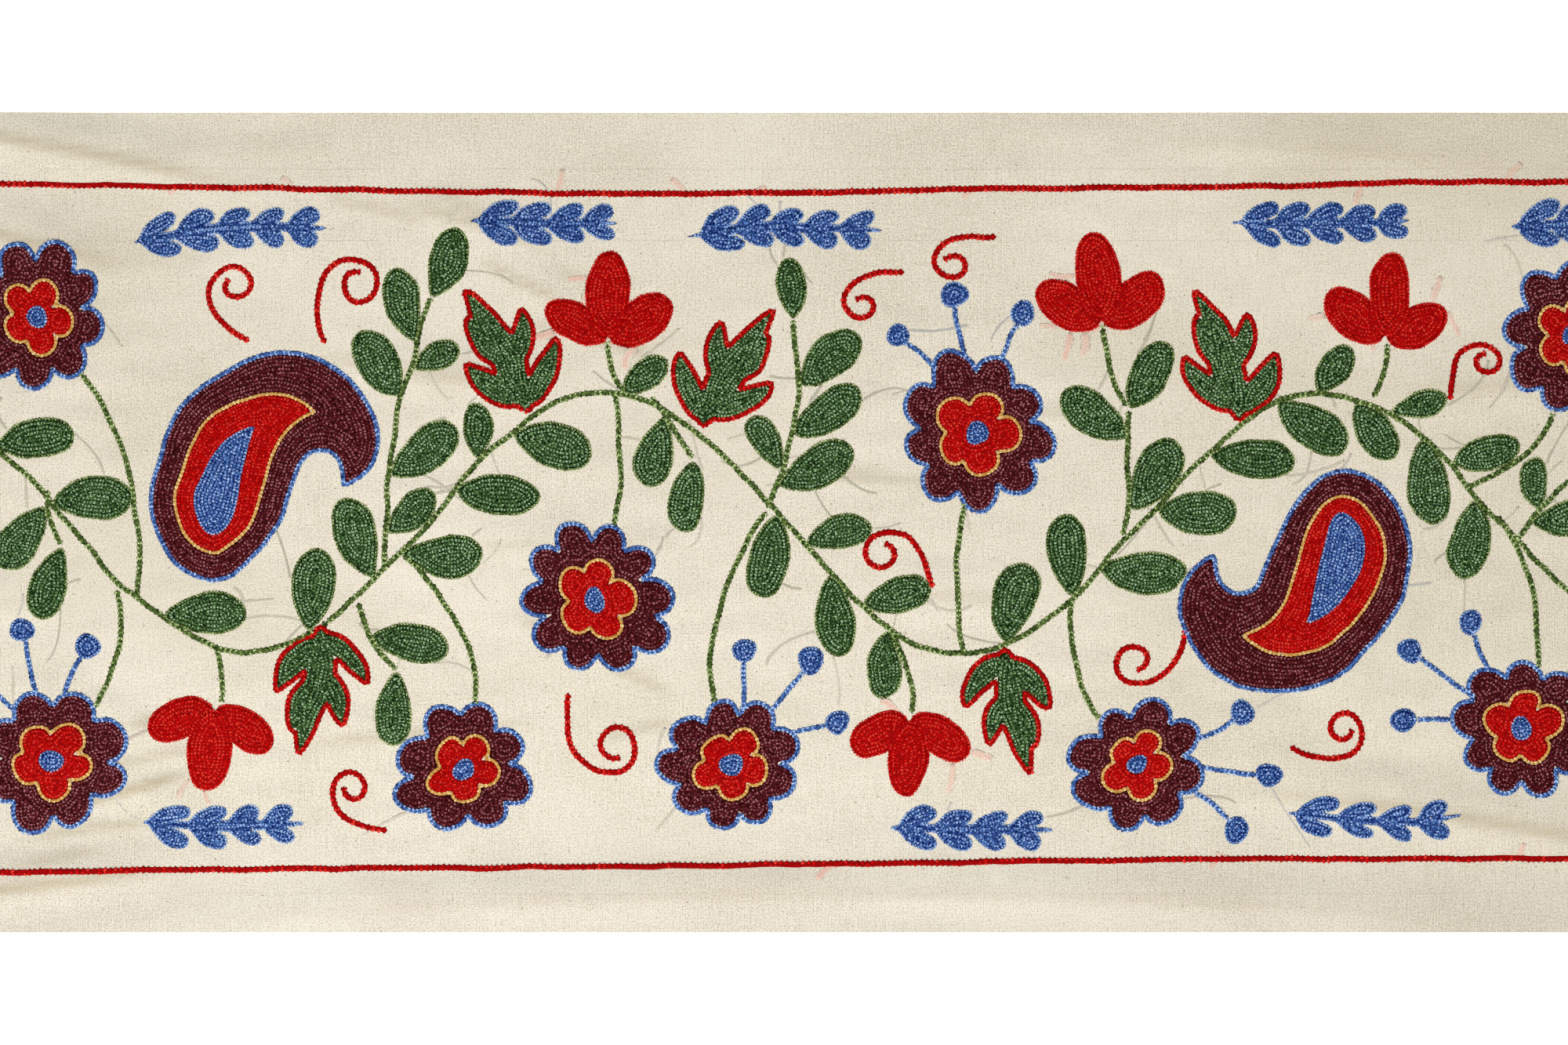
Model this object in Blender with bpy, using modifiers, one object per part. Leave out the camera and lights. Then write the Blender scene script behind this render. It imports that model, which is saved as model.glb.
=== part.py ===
"""Embroidered tablecloth: a cut length of narrow hand-woven cotton, lying face up on a table.

The cloth is one sheet. It lies flat but for the low folds and creases that
the table of folds below gives, and its two long edges are dead straight.
Metres, +Z up. +X runs along the cloth and +Y towards its upper border line.
The origin is at the middle of the cloth, on the table.
"""

import math

import bpy

MM = 0.001

CLOTH_LENGTH = 800 * MM
CLOTH_WIDTH = 366 * MM
CLOTH_THICKNESS = 1.2 * MM
CELLS_ALONG = 80
CELLS_ACROSS = 40

# A fold rises over this share of its length at either end.
FOLD_END_SHARE = 0.3

CLOTH_COLOUR = (0.74, 0.68, 0.55, 1.0)
CLOTH_ROUGHNESS = 0.9

# Each fold is a low ridge along a chord from start to end. It bows sideways
# from the chord by its bow at the middle. All sizes are in millimetres.
FOLD_COLUMNS = ("start_x", "start_y", "end_x", "end_y", "bow", "half_width", "height")
FOLDS = {
    "upper_left_crease": (-450, 186, -225, 148, 5, 20, 4.0),
    "second_left_crease": (-425, 158, -285, 115, -4, 20, 2.6),
    "upper_middle_crease": (-175, 144, -98, 121, 3, 18, 1.6),
    "short_slanting_crease": (-140, 121, -92, 97, 0, 16, 1.2),
    "long_upper_ripple": (-215, 80, -95, 66, -5, 20, 2.0),
    "centre_left_ripple": (-150, -10, -40, -12, 3, 17, 1.3),
    "centre_right_ripple": (40, -27, 125, -30, -3, 17, 1.3),
    "lower_left_first": (-345, -72, -268, -112, 4, 16, 1.5),
    "lower_left_second": (-340, -96, -256, -137, 4, 16, 1.7),
    "left_edge_ripple": (-440, -20, -330, -38, 4, 20, 2.2),
    "lower_left_crease": (-450, -181, -262, -153, 4, 18, 3.4),
    "long_lower_crease": (-305, -180, 372, -181, 17, 18, 2.4),
    "lower_right_crease": (190, -116, 450, -158, 5, 22, 3.0),
    "right_edge_ripple": (250, 60, 440, 84, -5, 24, 2.0),
    "upper_right_crease": (150, 172, 330, 160, 3, 18, 1.4),
}


def smooth_step(share):
    """Goes from 0 to 1 with no corner at either end."""
    share = min(max(share, 0.0), 1.0)
    return share * share * (3.0 - 2.0 * share)


def fold_lift(x, y, row):
    """The height that one fold gives the point x, y, in metres."""
    fold = dict(zip(FOLD_COLUMNS, (value * MM for value in row)))
    chord_x = fold["end_x"] - fold["start_x"]
    chord_y = fold["end_y"] - fold["start_y"]
    chord = math.hypot(chord_x, chord_y)
    from_start_x = x - fold["start_x"]
    from_start_y = y - fold["start_y"]
    along = (from_start_x * chord_x + from_start_y * chord_y) / chord**2
    if not 0.0 < along < 1.0:
        return 0.0
    aside = (from_start_y * chord_x - from_start_x * chord_y) / chord
    aside -= fold["bow"] * 4.0 * along * (1.0 - along)
    reach = min(abs(aside) / fold["half_width"], 1.0)
    ends = smooth_step(along / FOLD_END_SHARE) * smooth_step((1.0 - along) / FOLD_END_SHARE)
    return fold["height"] * ends * 0.5 * (1.0 + math.cos(math.pi * reach))


def cloth_lift(x, y):
    """How far the cloth is off the table at x, y: the highest of its folds there."""
    return max(fold_lift(x, y, row) for row in FOLDS.values())


def clear_scene():
    for scene_object in list(bpy.data.objects):
        bpy.data.objects.remove(scene_object)


def parts_collection():
    collection = bpy.data.collections.new("embroidered_tablecloth")
    bpy.context.scene.collection.children.link(collection)
    return collection


def cloth_material():
    material = bpy.data.materials.new("cotton_cloth")
    material.use_nodes = True
    shader = material.node_tree.nodes["Principled BSDF"]
    shader.inputs["Base Color"].default_value = CLOTH_COLOUR
    shader.inputs["Roughness"].default_value = CLOTH_ROUGHNESS
    shader.inputs["Metallic"].default_value = 0.0
    material.diffuse_color = CLOTH_COLOUR
    return material


def make_cloth(collection):
    """A flat grid gets its thickness first, and then both its faces rise with the folds."""
    bpy.ops.mesh.primitive_grid_add(
        x_subdivisions=CELLS_ALONG, y_subdivisions=CELLS_ACROSS, size=1.0
    )
    cloth = bpy.context.object
    cloth.name = "cloth"
    cloth.data.name = "cloth"
    for vertex in cloth.data.vertices:
        vertex.co.x *= CLOTH_LENGTH
        vertex.co.y *= CLOTH_WIDTH
        vertex.co.z = CLOTH_THICKNESS

    thickness = cloth.modifiers.new("thickness", "SOLIDIFY")
    thickness.thickness = CLOTH_THICKNESS
    thickness.offset = -1.0
    bpy.ops.object.modifier_apply(modifier=thickness.name)

    for vertex in cloth.data.vertices:
        vertex.co.z += cloth_lift(vertex.co.x, vertex.co.y)

    cloth.data.materials.append(cloth_material())
    cloth.data.shade_smooth()
    cloth.data.set_sharp_from_angle(angle=math.radians(40))
    for holder in list(cloth.users_collection):
        holder.objects.unlink(cloth)
    collection.objects.link(cloth)
    return cloth


def main():
    clear_scene()
    make_cloth(parts_collection())


main()
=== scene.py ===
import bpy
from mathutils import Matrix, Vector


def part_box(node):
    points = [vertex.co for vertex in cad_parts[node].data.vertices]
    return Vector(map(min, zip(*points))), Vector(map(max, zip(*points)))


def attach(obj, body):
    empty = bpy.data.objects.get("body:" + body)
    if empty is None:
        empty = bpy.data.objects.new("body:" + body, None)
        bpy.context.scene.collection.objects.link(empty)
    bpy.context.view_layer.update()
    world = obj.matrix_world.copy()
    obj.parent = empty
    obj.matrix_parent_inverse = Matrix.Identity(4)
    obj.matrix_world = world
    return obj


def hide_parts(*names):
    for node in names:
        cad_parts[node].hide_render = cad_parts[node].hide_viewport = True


bl_info = {
    "name": "Embroidered Tablecloth",
    "version": (1, 0, 0),
    "blender": (4, 5, 0),
    "location": "View3D > Sidebar > Tablecloth",
    "description": "Lays a narrow cotton cloth in low folds, with a chain-stitched vine between red borders",
    "category": "Add Mesh",
}

import functools
import math

import bpy
import numpy as np
from mathutils.geometry import delaunay_2d_cdt

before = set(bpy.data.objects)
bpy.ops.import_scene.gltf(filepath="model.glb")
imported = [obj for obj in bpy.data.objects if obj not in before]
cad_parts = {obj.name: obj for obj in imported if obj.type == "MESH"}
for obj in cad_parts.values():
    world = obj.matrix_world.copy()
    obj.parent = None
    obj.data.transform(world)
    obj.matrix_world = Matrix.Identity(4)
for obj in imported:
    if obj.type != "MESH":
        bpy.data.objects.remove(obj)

CLOTH_LOW, CLOTH_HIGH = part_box("cloth")
CLOTH_LENGTH = CLOTH_HIGH.x - CLOTH_LOW.x
CLOTH_WIDTH = CLOTH_HIGH.y - CLOTH_LOW.y
MILLIMETRE = 0.001


def tone(red, green, blue):
    """A colour as seen, from 0 to 255, in the linear values that Blender uses."""
    return tuple((value / 255.0) ** 2.2 for value in (red, green, blue))


# Each fold is a low ridge along a chord from start to end, which bows sideways by its bow at the middle,
# all in millimetres. A sharper crease runs down its side, from 0 for none to 1 for the sharpest, and its
# sharpness also sets how dark the painted shade along the crease is.
FOLD_COLUMNS = ("start_x", "start_y", "end_x", "end_y", "bow", "half_width", "height", "sharpness")
FOLDS = {
    "upper_left_crease": (-450, 186, -225, 148, 5, 20, 4.0, 0.8),
    "second_left_crease": (-425, 158, -285, 115, -4, 20, 2.6, 0.8),
    "upper_middle_crease": (-175, 144, -98, 121, 3, 18, 1.6, 0.6),
    "short_slanting_crease": (-140, 121, -92, 97, 0, 16, 1.2, 0.6),
    "long_upper_ripple": (-215, 80, -95, 66, -5, 20, 2.0, 0.5),
    "centre_left_ripple": (-150, -10, -40, -12, 3, 17, 1.3, 0.3),
    "centre_right_ripple": (40, -27, 125, -30, -3, 17, 1.3, 0.3),
    "lower_left_first": (-345, -72, -268, -112, 4, 16, 1.5, 0.1),
    "lower_left_second": (-340, -96, -256, -137, 4, 16, 1.7, 0.1),
    "left_edge_ripple": (-440, -20, -330, -38, 4, 20, 2.2, 0.5),
    "lower_left_crease": (-450, -181, -262, -153, 4, 18, 3.4, 0.8),
    "long_lower_crease": (-305, -180, 372, -181, 17, 18, 2.4, 0.25),
    "lower_right_crease": (190, -116, 450, -158, 5, 22, 3.0, 0.7),
    "right_edge_ripple": (250, 60, 440, 84, -5, 24, 2.0, 0.4),
    "upper_right_crease": (150, 172, 330, 160, 3, 18, 1.4, 0.2),
}
FOLD_END_SHARE = 0.3
CREASE_SHARE_OF_WIDTH = 0.26
CREASE_SHARE_ASIDE = -0.12
CREASE_HEIGHT = 0.5
# Small wrinkles between the folds, along chords as the folds are. Their sharpness also sets how dark the
# painted shade along them is.
WRINKLE_COLUMNS = ("start_x", "start_y", "end_x", "end_y", "bow", "sharpness")
WRINKLES = (
    (-298, -92, -246, -83, 1, 0.7),
    (-320, -113, -252, -100, 1, 0.5),
    (-334, -130, -258, -109, -1, 0.9),
    (-345, -142, -272, -133, 1, 0.6),
    (-352, -156, -298, -144, 0, 0.4),
    (-208, 145, -155, 133, 1, 0.5),
    (-162, 149, -98, 116, 2, 0.5),
    (-106, 112, -66, 103, 1, 0.5),
    (-94, 86, -50, 69, 1, 0.7),
    (-124, -39, -82, -59, -1, 0.5),
    (-84, -62, -48, -79, 1, 0.6),
    (-222, -100, -102, -90, 1, 0.5),
    (-86, -97, -46, -88, 0, 0.5),
    (8, 23, 78, 18, -1, 0.5),
    (74, 47, 160, 49, 1, 0.3),
)
WRINKLE_HALF_WIDTH = 4.5
PUCKER_REACH = 9.0
# The height of the slack between puckers and of the low ripples along the cloth, as shares of a pucker.
SLACK_SHARE = 0.35
RIPPLE_SHARE = 1.4
# The cloth is measured for puckers on a grid from its lower left, in millimetres.
GRID_X, GRID_Y, GRID_STEP = 402.0, 186.0, 2.0
STITCH_SINK = 0.15

# The embroidery is drawn in millimetres, as on the cloth: x along it, y across it, 0 at its middle.
FILL_ROW = 1.75
FILL_STITCH = 1.45
FILL_SHADE = 0.53
FILL_STRAY = 0.22
WIDEST_PITCH = 1.12 * FILL_ROW
# Filled shapes that have an edge start so far inside it.
EDGE_MARGIN = 0.5 * FILL_ROW
# A spot in a filled shape that is so far from every stitch gets one more.
GAP_TO_FILL = 0.78 * FILL_ROW
GAP_SPACING = 0.8 * FILL_ROW
CORE_STEP = 2.0
DRAWN_CELL = 0.7
CUT_END = 397.0
BAND_HALF = 143.0
VINE_SWING = 58.0
VINE_REPEAT = 320.0
VINE_CREST = -80.0
VINE_LEAF_STEP = 18.0
VINE_LEAF = 38.0
VINE_LEAF_LEAN = 50
LINE_STEP = 1.5
CURL_POWER = 2.2
# How far a drawn line strays from where it should run, slowly and quickly, and over what reach.
SLOW_STRAY, SLOW_REACH = 1.3, 34.0
QUICK_STRAY, QUICK_REACH = 0.35, 9.0
LEAF_HALF_WIDTH = 0.265
LEAF_LETS_IN = 1.4
# A leaf is tried at each of these shares of its length, turned by so many degrees, until one has room.
LEAF_TRIES = ((1.0, 0), (1.0, 12), (1.0, -12), (0.85, 0), (0.85, 16), (0.85, -16), (0.7, 0))
# A leaf keeps clear of the lines sewn later, except this near its root.
ROOT_REACH = 10.0

# How unlike each other the stitches of a row are: in length, and in brightness from row to row, slowly
# along a row and from stitch to stitch.
STITCH_SPREAD = 0.12
ROW_BRIGHTNESS, SLOW_BRIGHTNESS, STITCH_BRIGHTNESS = 0.6, 0.5, 1.3

# Rows that are sewn singly. shade is how light their thread looks, from 0 to 1.
ROW_COLUMNS = ("stitch", "width", "shade")
ROWS = {
    "blue_edge": (2.0, 3.5, 0.66),
    "gold_edge": (1.9, 2.6, 0.50),
    "red_edge": (2.1, 3.7, 0.28),
    "stem": (2.25, 3.9, 0.52),
    "tendril": (2.35, 4.2, 0.26),
    "stamen": (2.1, 3.7, 0.62),
    "border": (2.4, 4.4, 0.16),
}

FLOWER_COLUMNS = ("x", "y", "radius", "petals", "turn", "stamens")
FLOWERS = (
    (-334, 92, 32, 9, 10, None),
    (-326, -106, 32, 8, 0, 104),
    (-84, -34, 34, 10, 20, None),
    (-143, -110, 30, 8, 5, None),
    (-24, -108, 30, 9, 0, 52),
    (86, 40, 35, 9, 12, 99),
    (158, -108, 30, 8, 8, -4),
    (330, -92, 32, 9, 30, 146),
    (352, 84, 33, 8, 15, None),
    (-386, -22, 28, 8, 15, None),
    (386, -22, 28, 8, 15, None),
)

# A flower's ring of petals, its heart, its eye and its stamens. What lets in is run over that far.
CORE_OVERLAP = 1.1
PETAL_DEPTH = 0.33
HEART_SHARE = 0.54
HEART_PETALS = 5
HEART_DEPTH = 0.45
EYE_RADIUS = 5.3
KNOB_RADIUS = 6.0
KNOB_LETS_IN = 1.8
FLOWER_LETS_IN = 0.8
STAMEN_ROOT_SHARE = 0.6
# The stamens of a flower: how far each turns from the middle one, its length past the petals, its bend.
STAMEN_COLUMNS = ("turn", "length", "bend")
STAMENS = (
    (-24, 25, -18),
    (0, 31, 0),
    (24, 25, 18),
)

# The two border lines, sewn by eye and not quite level.
BORDER_SMOOTHING = 41
BORDER_SLOW_WOBBLE, BORDER_QUICK_WOBBLE = 0.35, 0.15
BORDER_COLUMNS = ("x", "upper_y", "lower_y")
BORDERS = (
    (-400, 151.6, -156.6),
    (-300, 150.6, -155.2),
    (-200, 148.5, -154.4),
    (-100, 146.6, -154.0),
    (0, 146.9, -152.6),
    (100, 149.4, -151.2),
    (200, 149.6, -150.0),
    (300, 152.3, -150.3),
    (400, 151.2, -149.4),
)

# A stalk joins a flower to the vine, and bows sideways at its middle.
STALK_COLUMNS = ("x", "y", "end_x", "end_y", "bow")
STALKS = (
    (-288, -36, -334, 92, -16),
    (-296, -30, -326, -106, 10),
    (-76, 58, -84, -34, 6),
    (-170, -14, -143, -110, 16),
    (-8, 4, -24, -108, -16),
    (80, -58, 86, 40, 5),
    (128, -34, 158, -108, -10),
    (318, 4, 330, -92, 12),
    (306, 16, 352, 84, -14),
    (-72, 58, -78, 92, 3),
    (262, 57, 268, 86, -3),
    (-252, -57, -254, -86, 3),
    (50, -48, 56, -94, 4),
    (152, 52, 142, 98, 3),
)

PAISLEY_COLUMNS = ("x", "y", "heading", "length")
PAISLEYS = (
    (-252, -26, 98, 148),
    (250, 24, -84, 148),
)

# The rings of a paisley, outermost first: the first point of its line that each uses, the share of the
# line at which it ends, its half width as a share of the length, and the powers of its base and tip.
PAISLEY_RING_COLUMNS = ("first", "end", "half_width", "base", "tip")
PAISLEY_RINGS = (
    (0, 1.0, 0.205, 0.52, 0.95),
    (8, 0.70, 0.125, 0.55, 1.0),
    (13, 0.52, 0.065, 0.55, 1.0),
)

# side is 1 for a leaf that curls to its left, and -1 for one that curls to its right.
FLAME_COLUMNS = ("x", "y", "heading", "size", "side")
FLAME_LEAVES = (
    (-114, 49, 108, 62, 1),
    (-36, 43, 68, 62, -1),
    (204, 46, 100, 62, 1),
    (-206, -46, -92, 60, -1),
    (98, -56, -86, 58, 1),
    (-386, 66, 70, 48, 1),
    (392, -80, -100, 48, 1),
)

# The points of a flame leaf: where each leaves the middle line, its lean, length, bend and width.
FLAME_POINT_COLUMNS = ("start", "lean", "length", "bend", "width")
FLAME_POINTS = (
    (0.0, 0, 1.0, 20, 0.11),
    (0.40, 40, 0.44, -34, 0.085),
    (0.36, -44, 0.44, 34, 0.085),
    (0.10, 58, 0.52, -40, 0.095),
    (0.06, -62, 0.52, 40, 0.095),
)

BUD_PETAL = 0.26
BUD_SIDE_PETAL = 0.82
BUD_SPREAD = 66
BUD_BEND = 16
BUD_COLUMNS = ("x", "y", "heading", "size")
BUDS = (
    (-78, 82, 92, 39),
    (268, 82, 84, 39),
    (-254, -82, -97, 38),
    (56, -88, -92, 36),
    (142, 90, 96, 40),
)

DROP_STEP = 19.0
DROP_LEAN = 34
DROP_BEND = 26
DROP_LENGTH = 21.0
DROP_SHORTENING = 6.0
DROPS_FROM, DROPS_REACH = 0.08, 0.85
DROP_HALF_WIDTH = 4.1
RIB_HALF_WIDTH = 2.6
FEATHER_COLUMNS = ("x", "y", "heading", "length", "turn")
FEATHERS = (
    (-296, 124, 12, 98, -16),
    (-142, 133, 2, 72, -4),
    (-46, 129, 6, 92, -12),
    (196, 135, -4, 88, 8),
    (-290, -134, -6, 80, 14),
    (44, -136, 0, 78, -4),
    (222, -128, -12, 84, 20),
    (322, 132, 6, 70, -8),
)

SPRAY_LEAF_LEAN = 46
# Shares of a spray's stem: where its first leaf is, how far its pairs reach, and how far apart the two
# leaves of a pair are.
SPRAY_FROM, SPRAY_REACH, SPRAY_STAGGER = 0.14, 0.8, 0.09
SPRAY_COLUMNS = ("x", "y", "heading", "length", "turn", "pairs", "leaf_length")
SPRAYS = (
    (-178, -22, 92, 124, -24, 4, 40),
    (-8, 6, 66, 86, 30, 3, 39),
    (152, -6, 86, 84, 10, 3, 39),
    (326, -8, 58, 74, -50, 2, 36),
    (-330, 14, -84, 50, 40, 2, 36),
    (-190, -36, -70, 66, 40, 2, 36),
    (-60, 56, -50, 64, -20, 2, 36),
)

TENDRIL_COLUMNS = ("x", "y", "heading", "length", "turn", "curl")
TENDRILS = (
    (-238, 80, 150, 84, -30, -440),
    (-204, 80, 112, 96, -60, -430),
    (-96, -76, -100, 104, 60, 430),
    (54, 111, 176, 66, -14, 430),
    (66, -30, 104, 78, 0, 430),
    (178, -44, -100, 80, 0, -430),
    (297, 54, 92, 68, -20, -440),
    (-178, -138, 168, 70, -10, -440),
    (226, -100, -30, 80, 50, 430),
    (96, 128, 168, 70, 20, 420),
)


def rows_of(columns, table):
    """The rows of a table, each with its columns' names."""
    return [dict(zip(columns, row)) for row in table]


def waver(x, y, reach, seed):
    """Smooth unevenness between about -1 and 1, made of crossing waves. It is the same each time."""
    total = 0.0
    for wave in range(5):
        way = 1.7 * seed + 2.4 * wave
        turns = 2.0 * math.pi / (reach * (1.0 + 0.3 * wave))
        total = total + np.sin((x * math.cos(way) + y * math.sin(way)) * turns + 3.1 * seed + 5.3 * wave)
    return total / 3.2


def by_hand(points):
    """Moves points a little, as a hand does that draws and sews without a ruler."""
    x, y = points[:, 0], points[:, 1]
    aside = SLOW_STRAY * waver(x, y, SLOW_REACH, 1) + QUICK_STRAY * waver(x, y, QUICK_REACH, 2)
    upwards = SLOW_STRAY * waver(x, y, SLOW_REACH, 3) + QUICK_STRAY * waver(x, y, QUICK_REACH, 4)
    return np.stack([x + aside, y + upwards], 1)


def curling_line(x, y, heading, length, turn=0.0, curl=0.0):
    """A line that turns by turn degrees, and by curl degrees more as it nears its end."""
    count = max(int(length / LINE_STEP), 6)
    share = (np.arange(count) + 0.5) / count
    way = np.radians(heading + turn * share + curl * share**CURL_POWER)
    across = np.cumsum(np.cos(way)) * length / count
    upwards = np.cumsum(np.sin(way)) * length / count
    return np.stack([np.r_[x, x + across], np.r_[y, y + upwards]], 1)


def length_along(line):
    """How far along a line each of its points lies."""
    return np.r_[0, np.cumsum(np.linalg.norm(np.diff(line, axis=0), axis=1))]


def evenly_spaced(line, step):
    """Points along a line, about one step apart."""
    run = length_along(line)
    places = np.linspace(0.0, run[-1], max(int(run[-1] / step), 3))
    return np.stack([np.interp(places, run, line[:, 0]), np.interp(places, run, line[:, 1])], 1)


def point_at(line, share):
    """The point at a share of a line's length, and the line's heading there in degrees."""
    run = length_along(line)
    near = np.array([share, min(share + 0.01, 1.0)]) * run[-1]
    x, y = np.interp(near, run, line[:, 0]), np.interp(near, run, line[:, 1])
    ahead = line[-1] - line[-2] if share > 0.99 else (x[1] - x[0], y[1] - y[0])
    return x[0], y[0], math.degrees(math.atan2(ahead[1], ahead[0]))


def outline_about(line, half_width, base, tip):
    """The outline of a leaf or drop about a line. Small base and tip powers make round ends."""
    share = 0.5 - 0.5 * np.cos(np.linspace(0.0, math.pi, 26 if half_width < 12 else 48))
    run = length_along(line)
    x = np.interp(share * run[-1], run, line[:, 0])
    y = np.interp(share * run[-1], run, line[:, 1])
    widest = base / (base + tip)
    half = half_width * share**base * (1 - share) ** tip / (widest**base * (1 - widest) ** tip)
    across, upwards = np.gradient(x), np.gradient(y)
    pace = np.hypot(across, upwards)
    left = np.stack([x - upwards / pace * half, y + across / pace * half], 1)
    right = np.stack([x + upwards / pace * half, y - across / pace * half], 1)
    return np.concatenate([left, right[-2:0:-1]])


def petalled_outline(x, y, radius, petals, depth, turn=0.0):
    """A ring of round petals. One petal of no depth is a plain round."""
    way = np.linspace(0, 2 * math.pi, petals * 14 + 14, endpoint=False)
    far = radius * (1 - depth + depth * np.abs(np.sin(petals * way / 2)) ** 0.5)
    far = far * (1 + 0.05 * np.sin(2 * way + x) + 0.04 * np.sin(3 * way + y))
    way = way + math.radians(turn)
    return np.stack([x + far * np.cos(way), y + far * np.sin(way)], 1)


def depth_in(outline, x, y):
    """How deep each point lies inside a closed outline. It is below 0 outside."""
    side = np.roll(outline, -1, axis=0) - outline
    from_x = x[..., None] - outline[:, 0]
    from_y = y[..., None] - outline[:, 1]
    share = (from_x * side[:, 0] + from_y * side[:, 1]) / np.maximum((side**2).sum(1), 1e-9)
    share = np.clip(share, 0, 1)
    near = np.hypot(from_x - share * side[:, 0], from_y - share * side[:, 1]).min(-1)
    height = np.where(side[:, 1] == 0, 1e-9, side[:, 1])
    level = (outline[:, 1] > y[..., None]) != (np.roll(outline[:, 1], -1) > y[..., None])
    crossed = level & (from_x < side[:, 0] * from_y / height)
    return np.where(crossed.sum(-1) % 2 == 1, near, -near)


class Motif:
    """What one motif covers: its outlines joined, less its holes, all drawn by hand."""

    # How deep a later row may run into it.
    let_in = -0.6

    def __init__(self, outlines, holes=(), overlap=0.0):
        self.outlines = [by_hand(outline) for outline in outlines]
        self.holes = [by_hand(outline) for outline in holes]
        self.overlap = overlap
        points = np.concatenate(self.outlines)
        self.low = points.min(0) - 3.0
        self.high = points.max(0) + 3.0

    def depth(self, x, y):
        """How deep each point lies inside the motif. It is below 0 outside."""
        deep = np.max([depth_in(outline, x, y) for outline in self.outlines], 0)
        for hole in self.holes:
            deep = np.minimum(deep, self.overlap - depth_in(hole, x, y))
        return np.minimum(deep, CUT_END - np.abs(x))

    def near(self, points):
        """Which points lie in the box about the motif."""
        return (points > self.low).all(1) & (points < self.high).all(1)

    def map(self):
        """The depth at each crossing of a fine grid over the motif."""
        count = np.ceil((self.high - self.low) / DRAWN_CELL).astype(int) + 1
        x, y = np.meshgrid(*[low + DRAWN_CELL * np.arange(n) for low, n in zip(self.low, count)])
        return x, y, self.depth(x, y)


# Which sides of a grid cell a level line joins, for each set of corners inside it. The corners
# count 1, 2, 4 and 8, and the sides are 0 low, 1 right, 2 high and 3 left.
CELL_LINES = {
    1: [(3, 0)], 2: [(0, 1)], 3: [(3, 1)], 4: [(1, 2)], 5: [(3, 0), (1, 2)],
    6: [(0, 2)], 7: [(3, 2)], 8: [(2, 3)], 9: [(2, 0)], 10: [(0, 1), (2, 3)],
    11: [(2, 1)], 12: [(1, 3)], 13: [(1, 0)], 14: [(0, 3)],
}


def level_lines(x, y, depth, level):
    """The closed lines at one depth of a motif's map."""
    above = depth - level
    inside = above > 0
    corners = inside[:-1, :-1] + 2 * inside[:-1, 1:] + 4 * inside[1:, 1:] + 8 * inside[1:, :-1]
    wide = depth.shape[1]
    joined = {}
    for row, column in zip(*np.nonzero((corners > 0) & (corners < 15))):
        first = row * wide + column
        sides = ((first, 1), (first + 1, wide), (first + wide, 1), (first, wide))
        for start, end in CELL_LINES[int(corners[row, column])]:
            joined.setdefault(sides[start], []).append(sides[end])
            joined.setdefault(sides[end], []).append(sides[start])
    x, y, above = x.ravel(), y.ravel(), above.ravel()
    lines, seen = [], set()
    for start in joined:
        if start in seen:
            continue
        line, here = [], start
        while here is not None:
            seen.add(here)
            one, other = here[0], here[0] + here[1]
            share = above[one] / (above[one] - above[other])
            line.append((x[one] + share * (x[other] - x[one]), y[one] + share * (y[other] - y[one])))
            here = next((side for side in joined[here] if side not in seen), None)
        line.append(line[0])
        lines.append(np.array(line))
    return lines


def row_of_stitches(line, length, chance):
    """Stitches end to end along a line: middle x and y, direction, length and brightness of each."""
    run = length_along(line)
    if run[-1] < 0.6 * length:
        return np.zeros((0, 5))
    count = max(int(round(run[-1] / length)), 1)
    ends = np.arange(count + 1) / count * run[-1]
    ends[1:-1] += chance.uniform(-STITCH_SPREAD, STITCH_SPREAD, count - 1) * length
    x, y = np.interp(ends, run, line[:, 0]), np.interp(ends, run, line[:, 1])
    across, upwards = np.diff(x), np.diff(y)
    middles = [(x[1:] + x[:-1]) / 2, (y[1:] + y[:-1]) / 2]
    slow_change = np.sin(np.arange(count) * chance.uniform(0.15, 0.5) + chance.uniform(0, 6))
    brightness = ROW_BRIGHTNESS * chance.normal() + SLOW_BRIGHTNESS * slow_change
    brightness = brightness + chance.normal(0.0, STITCH_BRIGHTNESS, count)
    return np.stack([*middles, np.arctan2(upwards, across), np.hypot(across, upwards), brightness], 1)


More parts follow.
